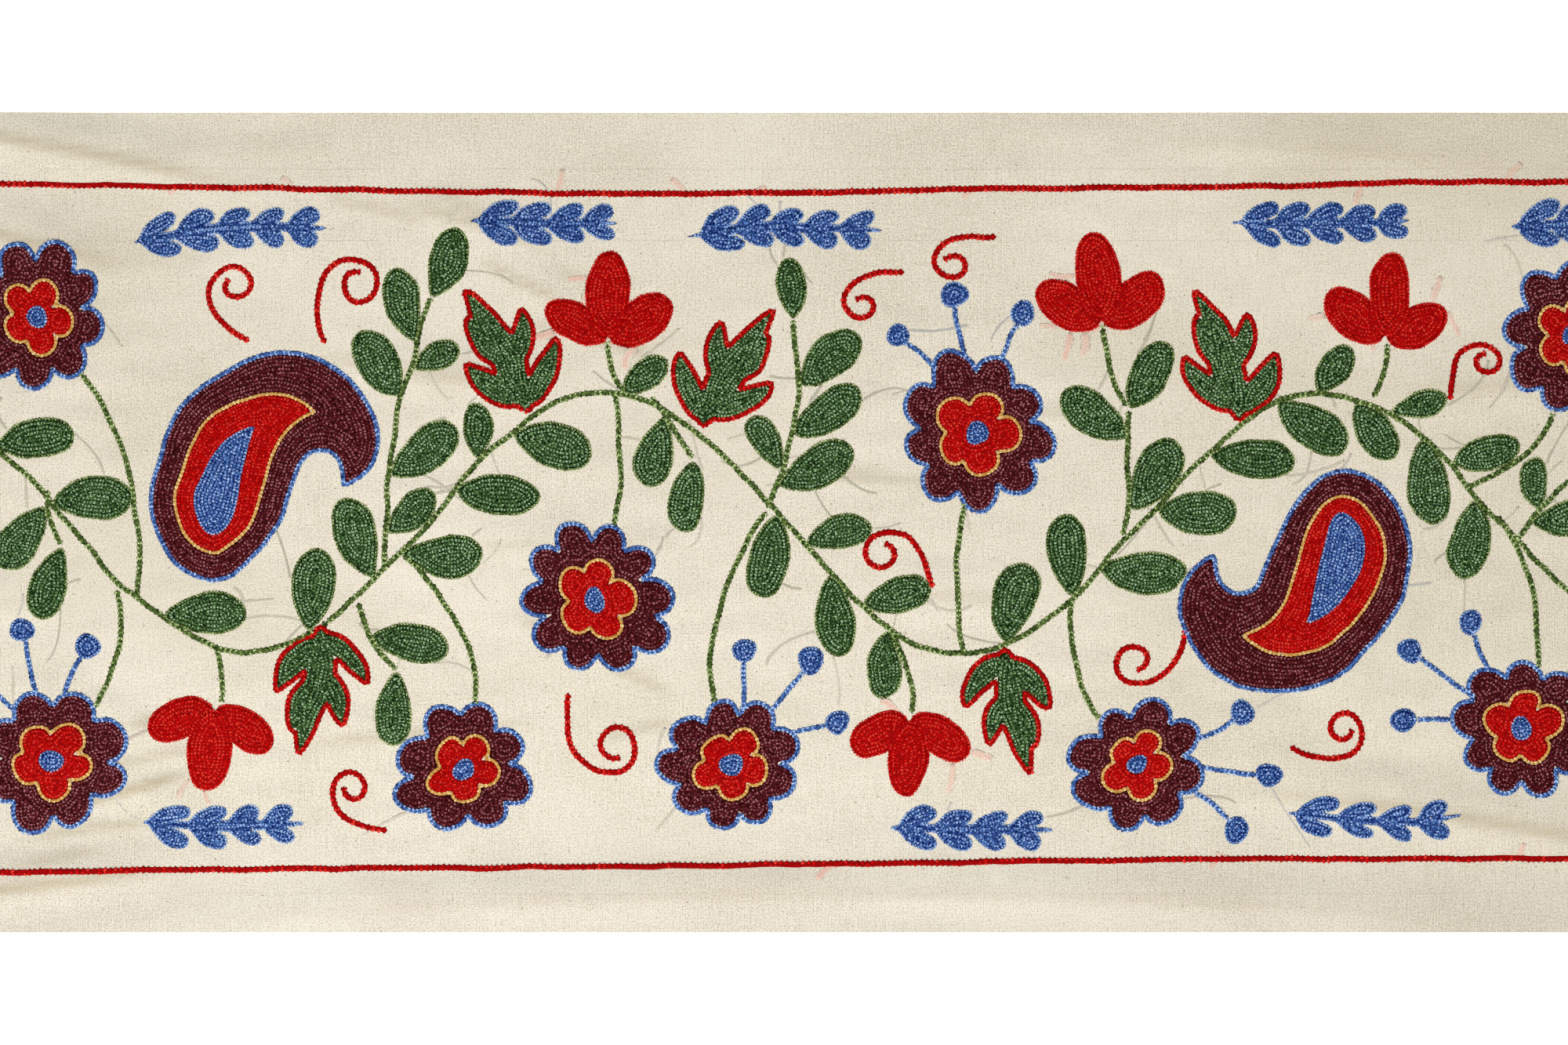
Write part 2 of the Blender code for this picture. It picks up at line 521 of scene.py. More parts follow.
class Embroidery:
    """All that is sewn, in the order in which it is sewn. What comes first isn't sewn over."""

    def __init__(self):
        self.chance = np.random.default_rng(7)
        self.sewn = []
        self.planned = []
        self.stitches = {}
        self.grounds = {}
        self.cores = {}

    def uncovered(self, points):
        """Which points no earlier motif covers, and are clear of the cut ends."""
        clear = np.abs(points[:, 0]) < CUT_END - 0.5
        for motif in self.sewn:
            near = clear & motif.near(points)
            if near.any():
                clear[near] = motif.depth(points[near, 0], points[near, 1]) < motif.let_in
        return clear

    def add(self, piece, stitches, width, shade):
        """Keeps the uncovered stitches under their piece's name."""
        kept = stitches[self.uncovered(stitches[:, :2])]
        more = np.tile((width, shade), (len(kept), 1))
        self.stitches.setdefault(piece, []).append(np.c_[kept, more])

    def edge(self, piece, motif, kind):
        """Single rows along a motif's outlines and its holes."""
        for line in level_lines(*motif.map(), 0.0):
            self.single_row(piece, line, kind)

    def single_row(self, piece, line, kind):
        """A row of stitches of one kind along a line, and the core of thread under it."""
        row = dict(zip(ROW_COLUMNS, ROWS[kind]))
        width, shade = row["width"], row["shade"]
        self.add(piece, row_of_stitches(line, row["stitch"], self.chance), width, shade)
        points = evenly_spaced(line, CORE_STEP)
        clear = self.uncovered(points)
        changes = np.nonzero(np.diff(clear.astype(int)))[0] + 1
        for part in np.split(np.arange(len(points)), changes):
            if clear[part[0]] and len(part) > 2:
                self.cores.setdefault(piece, []).append((points[part], width, shade))

    def fill(self, piece, motif, margin=0.0, rim=None):
        """Rows that follow the outline inwards, and short stitches where they leave a gap.

        The outermost row is sewn in the thread of the piece that rim names.
        """
        x, y, depth = motif.map()
        uneven = depth + FILL_STRAY * waver(x, y, reach=11.0, seed=5)
        room = depth.max() - margin
        count = max(int(round(room / FILL_ROW)), 1)
        pitch = min(room / count, WIDEST_PITCH)
        levels = margin + (np.arange(count) + 0.5) * pitch
        lines = [line for level in levels for line in level_lines(x, y, uneven, level)]
        rows = [row_of_stitches(line, FILL_STITCH, self.chance) for line in lines]
        rows = np.concatenate([np.zeros((0, 5)), *rows])
        if len(rows):
            rows = np.concatenate([rows, self.gap_stitches(x, y, depth, margin, rows)])
        if rim:
            outer = motif.depth(rows[:, 0], rows[:, 1]) < margin + 0.9 * pitch
            self.add(rim, rows[outer], FILL_ROW, FILL_SHADE)
            rows = rows[~outer]
        self.add(piece, rows, FILL_ROW, FILL_SHADE)
        self.grounds.setdefault(piece, []).append(motif)

    def gap_stitches(self, x, y, depth, margin, rows):
        """Single stitches, along their neighbours, where the rows leave the most room."""
        inside = depth > margin + 0.5 * FILL_ROW
        spots = np.stack([x[inside], y[inside]], 1)
        if not len(spots):
            return np.zeros((0, 5))
        away = ((spots[:, None] - rows[None, :, :2]) ** 2).sum(-1)
        gap, nearest = np.sqrt(away.min(1)), away.argmin(1)
        found = []
        for spot in np.argsort(-gap):
            if gap[spot] < GAP_TO_FILL:
                break
            place = spots[spot]
            if all(math.dist(place, other[:2]) > GAP_SPACING for other in found):
                found.append((*place, rows[nearest[spot], 2], FILL_STITCH, 0.0))
        return np.array(found).reshape(-1, 5)

    def has_room(self, motif, gap=0.8):
        """Whether a motif lies inside the band and clear of all that is sewn."""
        for outline in motif.outlines:
            if (np.abs(outline[:, 1]) > BAND_HALF).any():
                return False
            for other in self.sewn:
                near = other.near(outline)
                if near.any() and (other.depth(outline[near, 0], outline[near, 1]) > -gap).any():
                    return False
        return True

    def meets_a_line(self, motif, root):
        """Whether a line that is sewn later would run through a motif, other than at its root."""
        for line in self.planned:
            far = motif.near(line) & (np.hypot(*(line - root).T) > ROOT_REACH)
            if far.any() and (motif.depth(*line[far].T) > 0.0).any():
                return True
        return False


def sew_rings(work, whole, inner, core):
    """A maroon ring edged in blue, in it a red ring edged in gold, and a blue core."""
    work.edge("blue_threads", Motif([whole]), "blue_edge")
    work.fill("maroon_threads", Motif([whole], [inner]), EDGE_MARGIN)
    work.edge("gold_threads", Motif([inner]), "gold_edge")
    work.fill("red_threads", Motif([inner], [core], CORE_OVERLAP), EDGE_MARGIN)
    work.fill("blue_threads", Motif([core]))
    covered = Motif([whole])
    work.sewn.append(covered)
    return covered


def sew_stamens(work, x, y, radius, heading):
    """Three blue stamens with round ends, which come out from under a flower's edge."""
    for stamen in rows_of(STAMEN_COLUMNS, STAMENS):
        way = heading + stamen["turn"]
        root_x = x + STAMEN_ROOT_SHARE * radius * math.cos(math.radians(way))
        root_y = y + STAMEN_ROOT_SHARE * radius * math.sin(math.radians(way))
        line = curling_line(root_x, root_y, way, 0.3 * radius + stamen["length"], stamen["bend"])
        knob = Motif([petalled_outline(*line[-1], KNOB_RADIUS, petals=1, depth=0.0)])
        work.fill("blue_threads", knob)
        knob.let_in = KNOB_LETS_IN
        work.sewn.append(knob)
        work.single_row("blue_threads", by_hand(line), "stamen")


def sew_flower(work, x, y, radius, petals, turn, stamens):
    """A maroon ring of petals edged in blue, a red heart edged in gold and a blue eye."""
    whole = petalled_outline(x, y, radius, petals, PETAL_DEPTH, turn)
    heart = petalled_outline(x, y, HEART_SHARE * radius, HEART_PETALS, HEART_DEPTH, turn + 20)
    eye = petalled_outline(x, y, EYE_RADIUS, petals=1, depth=0.0)
    flower = sew_rings(work, whole, heart, eye)
    if stamens is not None:
        flower.let_in = FLOWER_LETS_IN
        sew_stamens(work, x, y, radius, stamens)
        flower.let_in = Motif.let_in


def sew_paisley(work, x, y, heading, length):
    """A drop with a curled tip: maroon edged in blue, then red edged in gold, and a blue core."""
    line = curling_line(x, y, heading, length, turn=-30, curl=-200)
    outlines = []
    for ring in rows_of(PAISLEY_RING_COLUMNS, PAISLEY_RINGS):
        part = line[ring["first"] : int(len(line) * ring["end"])]
        outlines.append(outline_about(part, ring["half_width"] * length, ring["base"], ring["tip"]))
    sew_rings(work, *outlines)


def sew_flame_leaf(work, x, y, heading, size, side):
    """A green leaf of five points, edged in red."""
    middle = curling_line(x, y, heading, size, side * 20)
    points = []
    for point in rows_of(FLAME_POINT_COLUMNS, FLAME_POINTS):
        root_x, root_y, _ = point_at(middle, point["start"])
        way = heading + side * point["lean"]
        line = curling_line(root_x, root_y, way, size * point["length"], side * point["bend"])
        points.append(outline_about(line, size * point["width"], base=0.6, tip=0.85))
    motif = Motif(points)
    work.edge("red_threads", motif, "red_edge")
    work.fill("flame_threads", motif, EDGE_MARGIN)
    work.sewn.append(motif)


def sew_bud(work, x, y, heading, size):
    """A red bud of one upright petal between two that lean, each sewn on its own."""
    lines = [curling_line(x, y, heading, size)]
    for side in (-1, 1):
        way = heading + BUD_SPREAD * side
        lines.append(curling_line(x, y, way, BUD_SIDE_PETAL * size, -BUD_BEND * side))
    for line in lines:
        motif = Motif([outline_about(line, BUD_PETAL * size, base=0.5, tip=0.45)])
        work.fill("red_threads", motif)
        work.sewn.append(motif)


def sew_feather(work, x, y, heading, length, turn):
    """A blue feather of drops on either side of a curved rib."""
    rib = curling_line(x, y, heading, length, turn)
    drops = [outline_about(rib, RIB_HALF_WIDTH, base=0.6, tip=0.6)]
    steps = int(round(length / DROP_STEP))
    for step in range(steps):
        share = DROPS_FROM + DROPS_REACH * step / steps
        root_x, root_y, way = point_at(rib, share)
        for side in (-1, 1):
            drop_length = DROP_LENGTH - DROP_SHORTENING * share
            line = curling_line(root_x, root_y, way + DROP_LEAN * side, drop_length, -DROP_BEND * side)
            drops.append(outline_about(line, DROP_HALF_WIDTH, base=0.8, tip=0.45))
    motif = Motif(drops)
    work.fill("blue_threads", motif)
    work.sewn.append(motif)


def sew_leaf(work, x, y, heading, length, bend):
    """A green leaf, sewn smaller or turned where there is little room. Says whether there was any."""
    root = by_hand(np.array([[x, y]]))
    for part, lean in LEAF_TRIES:
        line = curling_line(x, y, heading + lean - bend / 2, length * part, bend)
        outline = outline_about(line, LEAF_HALF_WIDTH * length * part, base=0.75, tip=0.5)
        motif = Motif([outline])
        if work.has_room(motif) and not work.meets_a_line(motif, root):
            work.fill("leaf_threads", motif, rim="stem_threads")
            motif.let_in = LEAF_LETS_IN
            work.sewn.append(motif)
            return True
    return False


def sew_spray(work, stem, pairs, leaf_length):
    """Pairs of leaves along a stem. Returns the stem, which ends at the last leaf."""
    last = 0.0
    for pair in range(pairs):
        for side in (-1, 1):
            share = SPRAY_FROM + SPRAY_REACH * pair / pairs + (SPRAY_STAGGER if side > 0 else 0.0)
            root_x, root_y, way = point_at(stem, share)
            way = way + SPRAY_LEAF_LEAN * side
            if sew_leaf(work, root_x, root_y, way, leaf_length * (1 - 0.15 * share), -14 * side):
                last = share
    root_x, root_y, way = point_at(stem, 1.0)
    if sew_leaf(work, root_x, root_y, way, 0.85 * leaf_length, 0.0):
        last = 1.0
    return stem[: max(int(last * len(stem)), 2)]


def vine_line():
    """A wave from end to end of the cloth."""
    x = np.arange(-400.0, 401.0, 2.0)
    return np.stack([x, VINE_SWING * np.cos(2 * np.pi * (x - VINE_CREST) / VINE_REPEAT)], 1)


def sew_vine_leaves(work, vine):
    """Leaves on the left and right of the vine by turns, wherever one has room."""
    run = length_along(vine)[-1]
    side = 1
    for step in range(1, int(run / VINE_LEAF_STEP)):
        root_x, root_y, way = point_at(vine, step * VINE_LEAF_STEP / run)
        sew_leaf(work, root_x, root_y, way + VINE_LEAF_LEAN * side, VINE_LEAF, -12 * side)
        side = -side


def stalk_line(x, y, end_x, end_y, bow):
    """A line between two points, which bows sideways at its middle."""
    share = np.linspace(0.0, 1.0, 30)[:, None]
    along = np.array([end_x - x, end_y - y])
    aside = np.array([-along[1], along[0]]) / math.hypot(*along)
    return np.array([x, y]) + share * along + bow * 4 * share * (1 - share) * aside


def border_line(edge):
    """The upper or lower border: a smooth line through its places, which wobbles a little."""
    x = np.arange(-400.0, 401.0, 2.0)
    rows = rows_of(BORDER_COLUMNS, BORDERS)
    places = np.interp(x, [row["x"] for row in rows], [row[edge] for row in rows])
    padded = np.pad(places, BORDER_SMOOTHING // 2, mode="edge")
    smooth = np.convolve(padded, np.ones(BORDER_SMOOTHING) / BORDER_SMOOTHING, mode="valid")
    slow = BORDER_SLOW_WOBBLE * waver(x, smooth, reach=26.0, seed=6)
    quick = BORDER_QUICK_WOBBLE * waver(x, smooth, reach=8.0, seed=7)
    return np.stack([x, smooth + (slow + quick)], 1)


def sew_all():
    """All the embroidery: first the motifs that stand alone, then the leaves, and then the lines."""
    work = Embroidery()
    motifs = (
        (sew_flower, FLOWER_COLUMNS, FLOWERS),
        (sew_paisley, PAISLEY_COLUMNS, PAISLEYS),
        (sew_flame_leaf, FLAME_COLUMNS, FLAME_LEAVES),
        (sew_bud, BUD_COLUMNS, BUDS),
        (sew_feather, FEATHER_COLUMNS, FEATHERS),
    )
    for sew, columns, table in motifs:
        for row in rows_of(columns, table):
            sew(work, **row)
    vine = vine_line()
    stalks = [stalk_line(**row) for row in rows_of(STALK_COLUMNS, STALKS)]
    tendrils = [curling_line(**row) for row in rows_of(TENDRIL_COLUMNS, TENDRILS)]
    sprays = rows_of(SPRAY_COLUMNS, SPRAYS)
    leafing = [(spray.pop("pairs"), spray.pop("leaf_length")) for spray in sprays]
    branches = [curling_line(**spray) for spray in sprays]
    work.planned = [by_hand(line) for line in [vine, *stalks, *branches, *tendrils]]
    branches = [sew_spray(work, stem, *leaves) for stem, leaves in zip(branches, leafing)]
    sew_vine_leaves(work, vine)
    for stem in [vine, *branches, *stalks]:
        work.single_row("stem_threads", by_hand(stem), "stem")
    for tendril in tendrils:
        work.single_row("red_threads", by_hand(tendril), "tendril")
    for edge in ("upper_y", "lower_y"):
        work.single_row("red_threads", border_line(edge), "border")
    return work


def smooth_step(share):
    """The share with a gentle start and end, between 0 and 1."""
    share = np.clip(share, 0.0, 1.0)
    return share * share * (3.0 - 2.0 * share)


def fold_lift(x, y, chord, half_width, height, aside_by=0.0):
    """How far one fold lifts the cloth off the table."""
    chord_x, chord_y = chord["end_x"] - chord["start_x"], chord["end_y"] - chord["start_y"]
    from_x, from_y = x - chord["start_x"], y - chord["start_y"]
    length = math.hypot(chord_x, chord_y)
    along = (from_x * chord_x + from_y * chord_y) / length**2
    aside = (from_y * chord_x - from_x * chord_y) / length
    aside = np.abs(aside - chord["bow"] * 4.0 * along * (1.0 - along) - aside_by) / half_width
    crown = 0.5 * (1.0 + np.cos(np.pi * np.minimum(aside, 1.0)))
    ends = smooth_step(along / FOLD_END_SHARE) * smooth_step((1.0 - along) / FOLD_END_SHARE)
    return height * ends * crown


def folds_at(x, y):
    """How far the highest fold at each point lifts the cloth, in millimetres."""
    folds = rows_of(FOLD_COLUMNS, FOLDS.values())
    return np.max([fold_lift(x, y, fold, fold["half_width"], fold["height"]) for fold in folds], 0)


def creases_at(x, y):
    """The sharper creases on the folds and the wrinkles between them, from 0 to 1."""
    creases = []
    for fold in rows_of(FOLD_COLUMNS, FOLDS.values()):
        half_width = fold["half_width"] * CREASE_SHARE_OF_WIDTH
        aside_by = CREASE_SHARE_ASIDE * fold["half_width"]
        creases.append(fold_lift(x, y, fold, half_width, fold["sharpness"], aside_by))
    for wrinkle in rows_of(WRINKLE_COLUMNS, WRINKLES):
        creases.append(fold_lift(x, y, wrinkle, WRINKLE_HALF_WIDTH, wrinkle["sharpness"]))
    return np.max(creases, 0)


@functools.lru_cache(maxsize=1)
def embroidery():
    """The embroidery, which is sewn once and then kept."""
    return sew_all()


@functools.lru_cache(maxsize=1)
def nearness_map():
    """How near each spot of the cloth is to a motif's outline: 1 on it, and 0 far from it or deep inside."""
    x = np.arange(-GRID_X, GRID_X + 1.0, GRID_STEP)
    x, y = np.meshgrid(x, np.arange(-GRID_Y, GRID_Y + 1.0, GRID_STEP))
    spots = np.stack([x.ravel(), y.ravel()], 1)
    near = np.zeros(len(spots))
    for motif in embroidery().sewn:
        close = (spots > motif.low - PUCKER_REACH).all(1) & (spots < motif.high + PUCKER_REACH).all(1)
        depth = motif.depth(spots[close, 0], spots[close, 1])
        near[close] = np.maximum(near[close], np.exp(-((depth + 4.0) / PUCKER_REACH) ** 2 * 2.0))
    return near.reshape(x.shape)


def nearness_at(x, y):
    """The nearness map's value at each point, blended from the four grid spots about it."""
    near = nearness_map()
    column = np.clip((x + GRID_X) / GRID_STEP, 0, near.shape[1] - 1.001)
    row = np.clip((y + GRID_Y) / GRID_STEP, 0, near.shape[0] - 1.001)
    left, low = column.astype(int), row.astype(int)
    across, upwards = column - left, row - low
    lower = near[low, left] * (1 - across) + near[low, left + 1] * across
    upper = near[low + 1, left] * (1 - across) + near[low + 1, left + 1] * across
    return lower * (1 - upwards) + upper * upwards


def cloth_top(x, y):
    """The height of the woven cloth's upper face, in millimetres, with its folds and puckers."""
    ground = bpy.context.scene.ground_settings
    pucker = ground.pucker_height / MILLIMETRE
    lift = folds_at(x, y)
    creases = CREASE_HEIGHT * creases_at(x, y)
    drawn_in = pucker * nearness_at(x, y) * (1 + waver(x, y, reach=11.0, seed=7))
    slack = SLACK_SHARE * pucker * (1 + waver(x, y, reach=30.0, seed=8))
    rippled = smooth_step(waver(x, y, reach=120.0, seed=10) + 0.6)
    ripple = 1 + waver(0.25 * x + 0.05 * y, y, reach=11.0, seed=9)
    ripples = RIPPLE_SHARE * pucker * ripple * rippled
    return lift + creases + drawn_in + slack + ripples + ground.thickness / MILLIMETRE


def add_node(tree, kind, inputs=None, **settings):
    """Adds a node. Each input is a value or another node's output."""
    node = tree.nodes.new(kind)
    for name, value in settings.items():
        setattr(node, name, value)
    for key, value in (inputs or {}).items():
        if isinstance(value, bpy.types.NodeSocket):
            tree.links.new(value, node.inputs[key])
        else:
            node.inputs[key].default_value = value
    return node


def number(tree, operation, first, second=0.0, third=0.0):
    """The result of a Math node."""
    inputs = {0: first, 1: second, 2: third}
    return add_node(tree, "ShaderNodeMath", inputs, operation=operation).outputs[0]


def mix_colours(tree, share, first, second, blend="MIX"):
    """The result of a Mix node for colours."""
    inputs = {"Factor": share, "A": first, "B": second}
    for key in ("A", "B"):
        if not isinstance(inputs[key], bpy.types.NodeSocket):
            inputs[key] = (*inputs[key][:3], 1.0)
    node = tree.nodes.new("ShaderNodeMix")
    node.data_type = "RGBA"
    node.blend_type = blend
    sockets = {"Factor": node.inputs[0], "A": node.inputs[6], "B": node.inputs[7]}
    for key, value in inputs.items():
        if isinstance(value, bpy.types.NodeSocket):
            tree.links.new(value, sockets[key])
        else:
            sockets[key].default_value = value
    return node.outputs[2]


def stretched_noise(tree, place, across, upwards, detail=2.0):
    """Noise with so many patches a metre each way."""
    placed = add_node(tree, "ShaderNodeMapping", {"Vector": place, "Scale": (across, upwards, 1.0)})
    inputs = {"Vector": placed.outputs[0], "Scale": 1.0, "Detail": detail}
    noise = add_node(tree, "ShaderNodeTexNoise", inputs, noise_dimensions="2D")
    return noise.outputs["Fac"]


def range_share(tree, value, low, high):
    """0 at low and 1 at high."""
    inputs = {"Value": value, "From Min": low, "From Max": high}
    return add_node(tree, "ShaderNodeMapRange", inputs).outputs[0]


def new_material(name, roughness, specular, sheen):
    """A material with one Principled shader, its node tree and the shader."""
    material = bpy.data.materials.new(name)
    material.use_nodes = True
    tree = material.node_tree
    tree.nodes.clear()
    shader = add_node(tree, "ShaderNodeBsdfPrincipled", {"Roughness": roughness})
    shader.inputs["Specular IOR Level"].default_value = specular
    shader.inputs["Sheen Weight"].default_value = sheen
    shader.inputs["Sheen Roughness"].default_value = 0.5
    output = add_node(tree, "ShaderNodeOutputMaterial")
    tree.links.new(shader.outputs[0], output.inputs["Surface"])
    return material, tree, shader


# The cotton's unevenness: patches a metre along and across it, their detail, and how far they lighten it.
COTTON_NOISE_COLUMNS = ("along", "across", "detail", "strength")
COTTON_NOISES = {
    "weft_streaks": (90.0, 1900.0, 3.0, 0.7),
    "warp_streaks": (1400.0, 80.0, 3.0, 0.7),
    "speckle": (1100.0, 1300.0, 2.0, 2.2),
    "grain": (2300.0, 2700.0, 1.0, 2.6),
    "blotches": (9.0, 14.0, 3.0, 0.8),
}
# Where the cotton is made a little darker and faintly tinted: the axis along which its tint grows from
# nothing to the full.
EDGE_DARKENING_COLUMNS = ("axis", "low", "high", "tint")
EDGE_DARKENING = (
    ("x", 0.02, 0.36, tone(249, 248, 245)),
    ("x", -0.22, -0.36, tone(252, 252, 251)),
    ("y", -0.120, -0.168, tone(247, 247, 250)),
)
# Thicker threads in the weave, which show as faint straight lines along the cloth.
SLUB_COLUMNS = ("y", "half_width", "strength")
SLUBS = (
    (0.1258, 0.00035, 0.25),
    (0.1577, 0.00050, 0.18),
    (-0.1655, 0.00040, 0.15),
)
# How strongly stains, flecks and the painted shade in the creases show, and how far a slub wanders aside.
STAIN_STRENGTH = 0.22
FLECK_STRENGTH = 0.8
CREASE_SHADE_STRENGTH = 0.7
SLUB_WANDER = 0.0016
# How much of the relief comes from the uneven threads that run along and across the cloth.
WEFT_RELIEF, WARP_RELIEF = 0.7, 0.6


def woven_height(tree, x, y, settings):
    """Over and under of a plain weave, from 0 to 1."""
    warp = number(tree, "SINE", number(tree, "MULTIPLY", x, math.pi / settings.warp_pitch))
    weft = number(tree, "SINE", number(tree, "MULTIPLY", y, math.pi / settings.weft_pitch))
    over = number(tree, "MULTIPLY_ADD", number(tree, "MULTIPLY", warp, weft), 0.5, 0.5)
    warp_round = number(tree, "MULTIPLY", number(tree, "ABSOLUTE", warp), over)
    under = number(tree, "SUBTRACT", 1.0, over)
    weft_round = number(tree, "MULTIPLY", number(tree, "ABSOLUTE", weft), under)
    return number(tree, "ADD", warp_round, weft_round)


def cotton_lightness(tree, noises, weave):
    """How light the cotton is, from 0 for its shaded colour to 1 for its bright one."""
    # The weave's raised crowns are painted lighter than its hollows: painted light and shade on its relief.
    # The noises are the cotton's own uneven tone.
    light = number(tree, "MULTIPLY_ADD", weave, 1.1, 0.06)
    for name, row in zip(COTTON_NOISES, rows_of(COTTON_NOISE_COLUMNS, COTTON_NOISES.values())):
        share = number(tree, "MULTIPLY_ADD", noises[name], row["strength"], -0.5 * row["strength"])
        light = number(tree, "ADD", light, share)
    return add_node(tree, "ShaderNodeClamp", {0: light}).outputs[0]


def with_stains(tree, place, noises, colour, settings):
    """Faint brown stains, which show more on some threads than on others."""
    patches = stretched_noise(tree, place, across=5.0, upwards=11.0, detail=4.0)
    stains = range_share(tree, patches, low=0.52, high=0.72)
    threads = range_share(tree, noises["warp_streaks"], low=0.2, high=0.7)
    share = number(tree, "MULTIPLY", number(tree, "MULTIPLY", stains, threads), STAIN_STRENGTH)
    return mix_colours(tree, share, colour, settings.stain_and_crease_shade_colour)


def with_edge_darkening(tree, axes, colour):
    """A little darker over the right half, towards the left end and towards the lower edge."""
    for row in rows_of(EDGE_DARKENING_COLUMNS, EDGE_DARKENING):
        share = range_share(tree, axes[row["axis"]], row["low"], row["high"])
        colour = mix_colours(tree, share, colour, row["tint"], "MULTIPLY")
    return colour


def with_slubs(tree, place, y, colour, settings):
    """Thicker threads, which wander a little and come and go."""
    aside = stretched_noise(tree, place, across=14.0, upwards=0.0)
    wander = number(tree, "MULTIPLY_ADD", aside, SLUB_WANDER, -0.5 * SLUB_WANDER)
    patches = stretched_noise(tree, place, across=22.0, upwards=0.0, detail=3.0)
    patchy = range_share(tree, patches, low=0.3, high=0.6)
    for row in rows_of(SLUB_COLUMNS, SLUBS):
        away = number(tree, "ADD", number(tree, "SUBTRACT", y, row["y"]), wander)
        line = range_share(tree, number(tree, "ABSOLUTE", away), row["half_width"], 0.0)
        share = number(tree, "MULTIPLY", number(tree, "MULTIPLY", line, patchy), row["strength"])
        colour = mix_colours(tree, share, colour, settings.fleck_colour)
    return colour


def with_flecks(tree, place, colour, settings):
    """Small brown bits of seed, here and there."""
    inputs = {"Vector": place, "Scale": settings.flecks_a_metre}
    seeds = add_node(tree, "ShaderNodeTexVoronoi", inputs, voronoi_dimensions="2D")
    fleck = range_share(tree, seeds.outputs["Distance"], low=0.045, high=0.02)
    chosen = add_node(tree, "ShaderNodeSeparateColor", {0: seeds.outputs["Color"]}).outputs[0]
    few = range_share(tree, chosen, low=0.45, high=1.0)
    share = number(tree, "MULTIPLY", number(tree, "MULTIPLY", fleck, few), FLECK_STRENGTH)
    return mix_colours(tree, share, colour, settings.fleck_colour)


def with_creases_and_tails(tree, colour, settings):
    """Painted shade along the creases, and the tint of what lies under the cloth."""
    painted_crease_shade = add_node(tree, "ShaderNodeAttribute", attribute_name="painted_crease_shade").outputs["Fac"]
    crease_shade = number(tree, "MULTIPLY", painted_crease_shade, CREASE_SHADE_STRENGTH)
    colour = mix_colours(tree, crease_shade, colour, settings.stain_and_crease_shade_colour)
    tail_share = add_node(tree, "ShaderNodeAttribute", attribute_name="tail_share").outputs["Fac"]
    tail_tint = add_node(tree, "ShaderNodeAttribute", attribute_name="tail_tint").outputs["Color"]
    return mix_colours(tree, tail_share, colour, tail_tint)


def woven_cotton(settings):
    """Plain-woven unbleached cotton with uneven threads, seed flecks and painted shade along the creases."""
    if "woven_cotton" in bpy.data.materials:
        return bpy.data.materials["woven_cotton"]
    material, tree, shader = new_material("woven_cotton", roughness=0.9, specular=0.15, sheen=0.1)
    place = add_node(tree, "ShaderNodeTexCoord").outputs["Object"]
    split = add_node(tree, "ShaderNodeSeparateXYZ", {0: place})
    axes = {"x": split.outputs[0], "y": split.outputs[1]}
    weave = woven_height(tree, axes["x"], axes["y"], settings)
    noises = {}
    for name, row in zip(COTTON_NOISES, rows_of(COTTON_NOISE_COLUMNS, COTTON_NOISES.values())):
        noises[name] = stretched_noise(tree, place, row["along"], row["across"], row["detail"])
    light = cotton_lightness(tree, noises, weave)
    colour = mix_colours(tree, light, settings.shaded_cotton, settings.bright_cotton)
    colour = with_stains(tree, place, noises, colour, settings)
    colour = with_edge_darkening(tree, axes, colour)
    colour = with_slubs(tree, place, axes["y"], colour, settings)
    colour = with_flecks(tree, place, colour, settings)
    colour = with_creases_and_tails(tree, colour, settings)
    tree.links.new(colour, shader.inputs["Base Color"])
    height = number(tree, "MULTIPLY_ADD", noises["weft_streaks"], WEFT_RELIEF, weave)
    height = number(tree, "MULTIPLY_ADD", noises["warp_streaks"], WARP_RELIEF, height)
    inputs = {"Height": height, "Strength": 0.5, "Distance": settings.weave_depth}
    tree.links.new(add_node(tree, "ShaderNodeBump", inputs).outputs[0], shader.inputs["Normal"])
    return material


def thread_shade_group():
    """The colour of each leg of a stitch, from its shade, which holds both its uneven tone and its painted
    shade and glints, and the fuzz on the thread.
    """
    if "thread_shade" in bpy.data.node_groups:
        return bpy.data.node_groups["thread_shade"]
    tree = bpy.data.node_groups.new("thread_shade", "ShaderNodeTree")
    for name in ("Dark", "Middle", "Light"):
        tree.interface.new_socket(name, in_out="INPUT", socket_type="NodeSocketColor")
    tree.interface.new_socket("Color", in_out="OUTPUT", socket_type="NodeSocketColor")
    tree.interface.new_socket("Height", in_out="OUTPUT", socket_type="NodeSocketFloat")
    given = add_node(tree, "NodeGroupInput")
    place = add_node(tree, "ShaderNodeTexCoord").outputs["Object"]
    fibres = add_node(tree, "ShaderNodeTexNoise", {"Vector": place, "Scale": 1500.0, "Detail": 2.0})
    shade = add_node(tree, "ShaderNodeAttribute", attribute_name="shade").outputs["Fac"]
    shade = number(tree, "ADD", shade, number(tree, "MULTIPLY_ADD", fibres.outputs["Fac"], 1.4, -0.7))
    lower = range_share(tree, shade, low=0.0, high=0.5)
    upper = range_share(tree, shade, low=0.55, high=1.0)
    colour = mix_colours(tree, lower, given.outputs["Dark"], given.outputs["Middle"])
    colour = mix_colours(tree, upper, colour, given.outputs["Light"])
    noise = add_node(tree, "ShaderNodeTexNoise", {"Vector": place, "Scale": 2600.0, "Detail": 1.0})
    result = add_node(tree, "NodeGroupOutput")
    tree.links.new(colour, result.inputs["Color"])
    tree.links.new(noise.outputs["Fac"], result.inputs["Height"])
    return tree


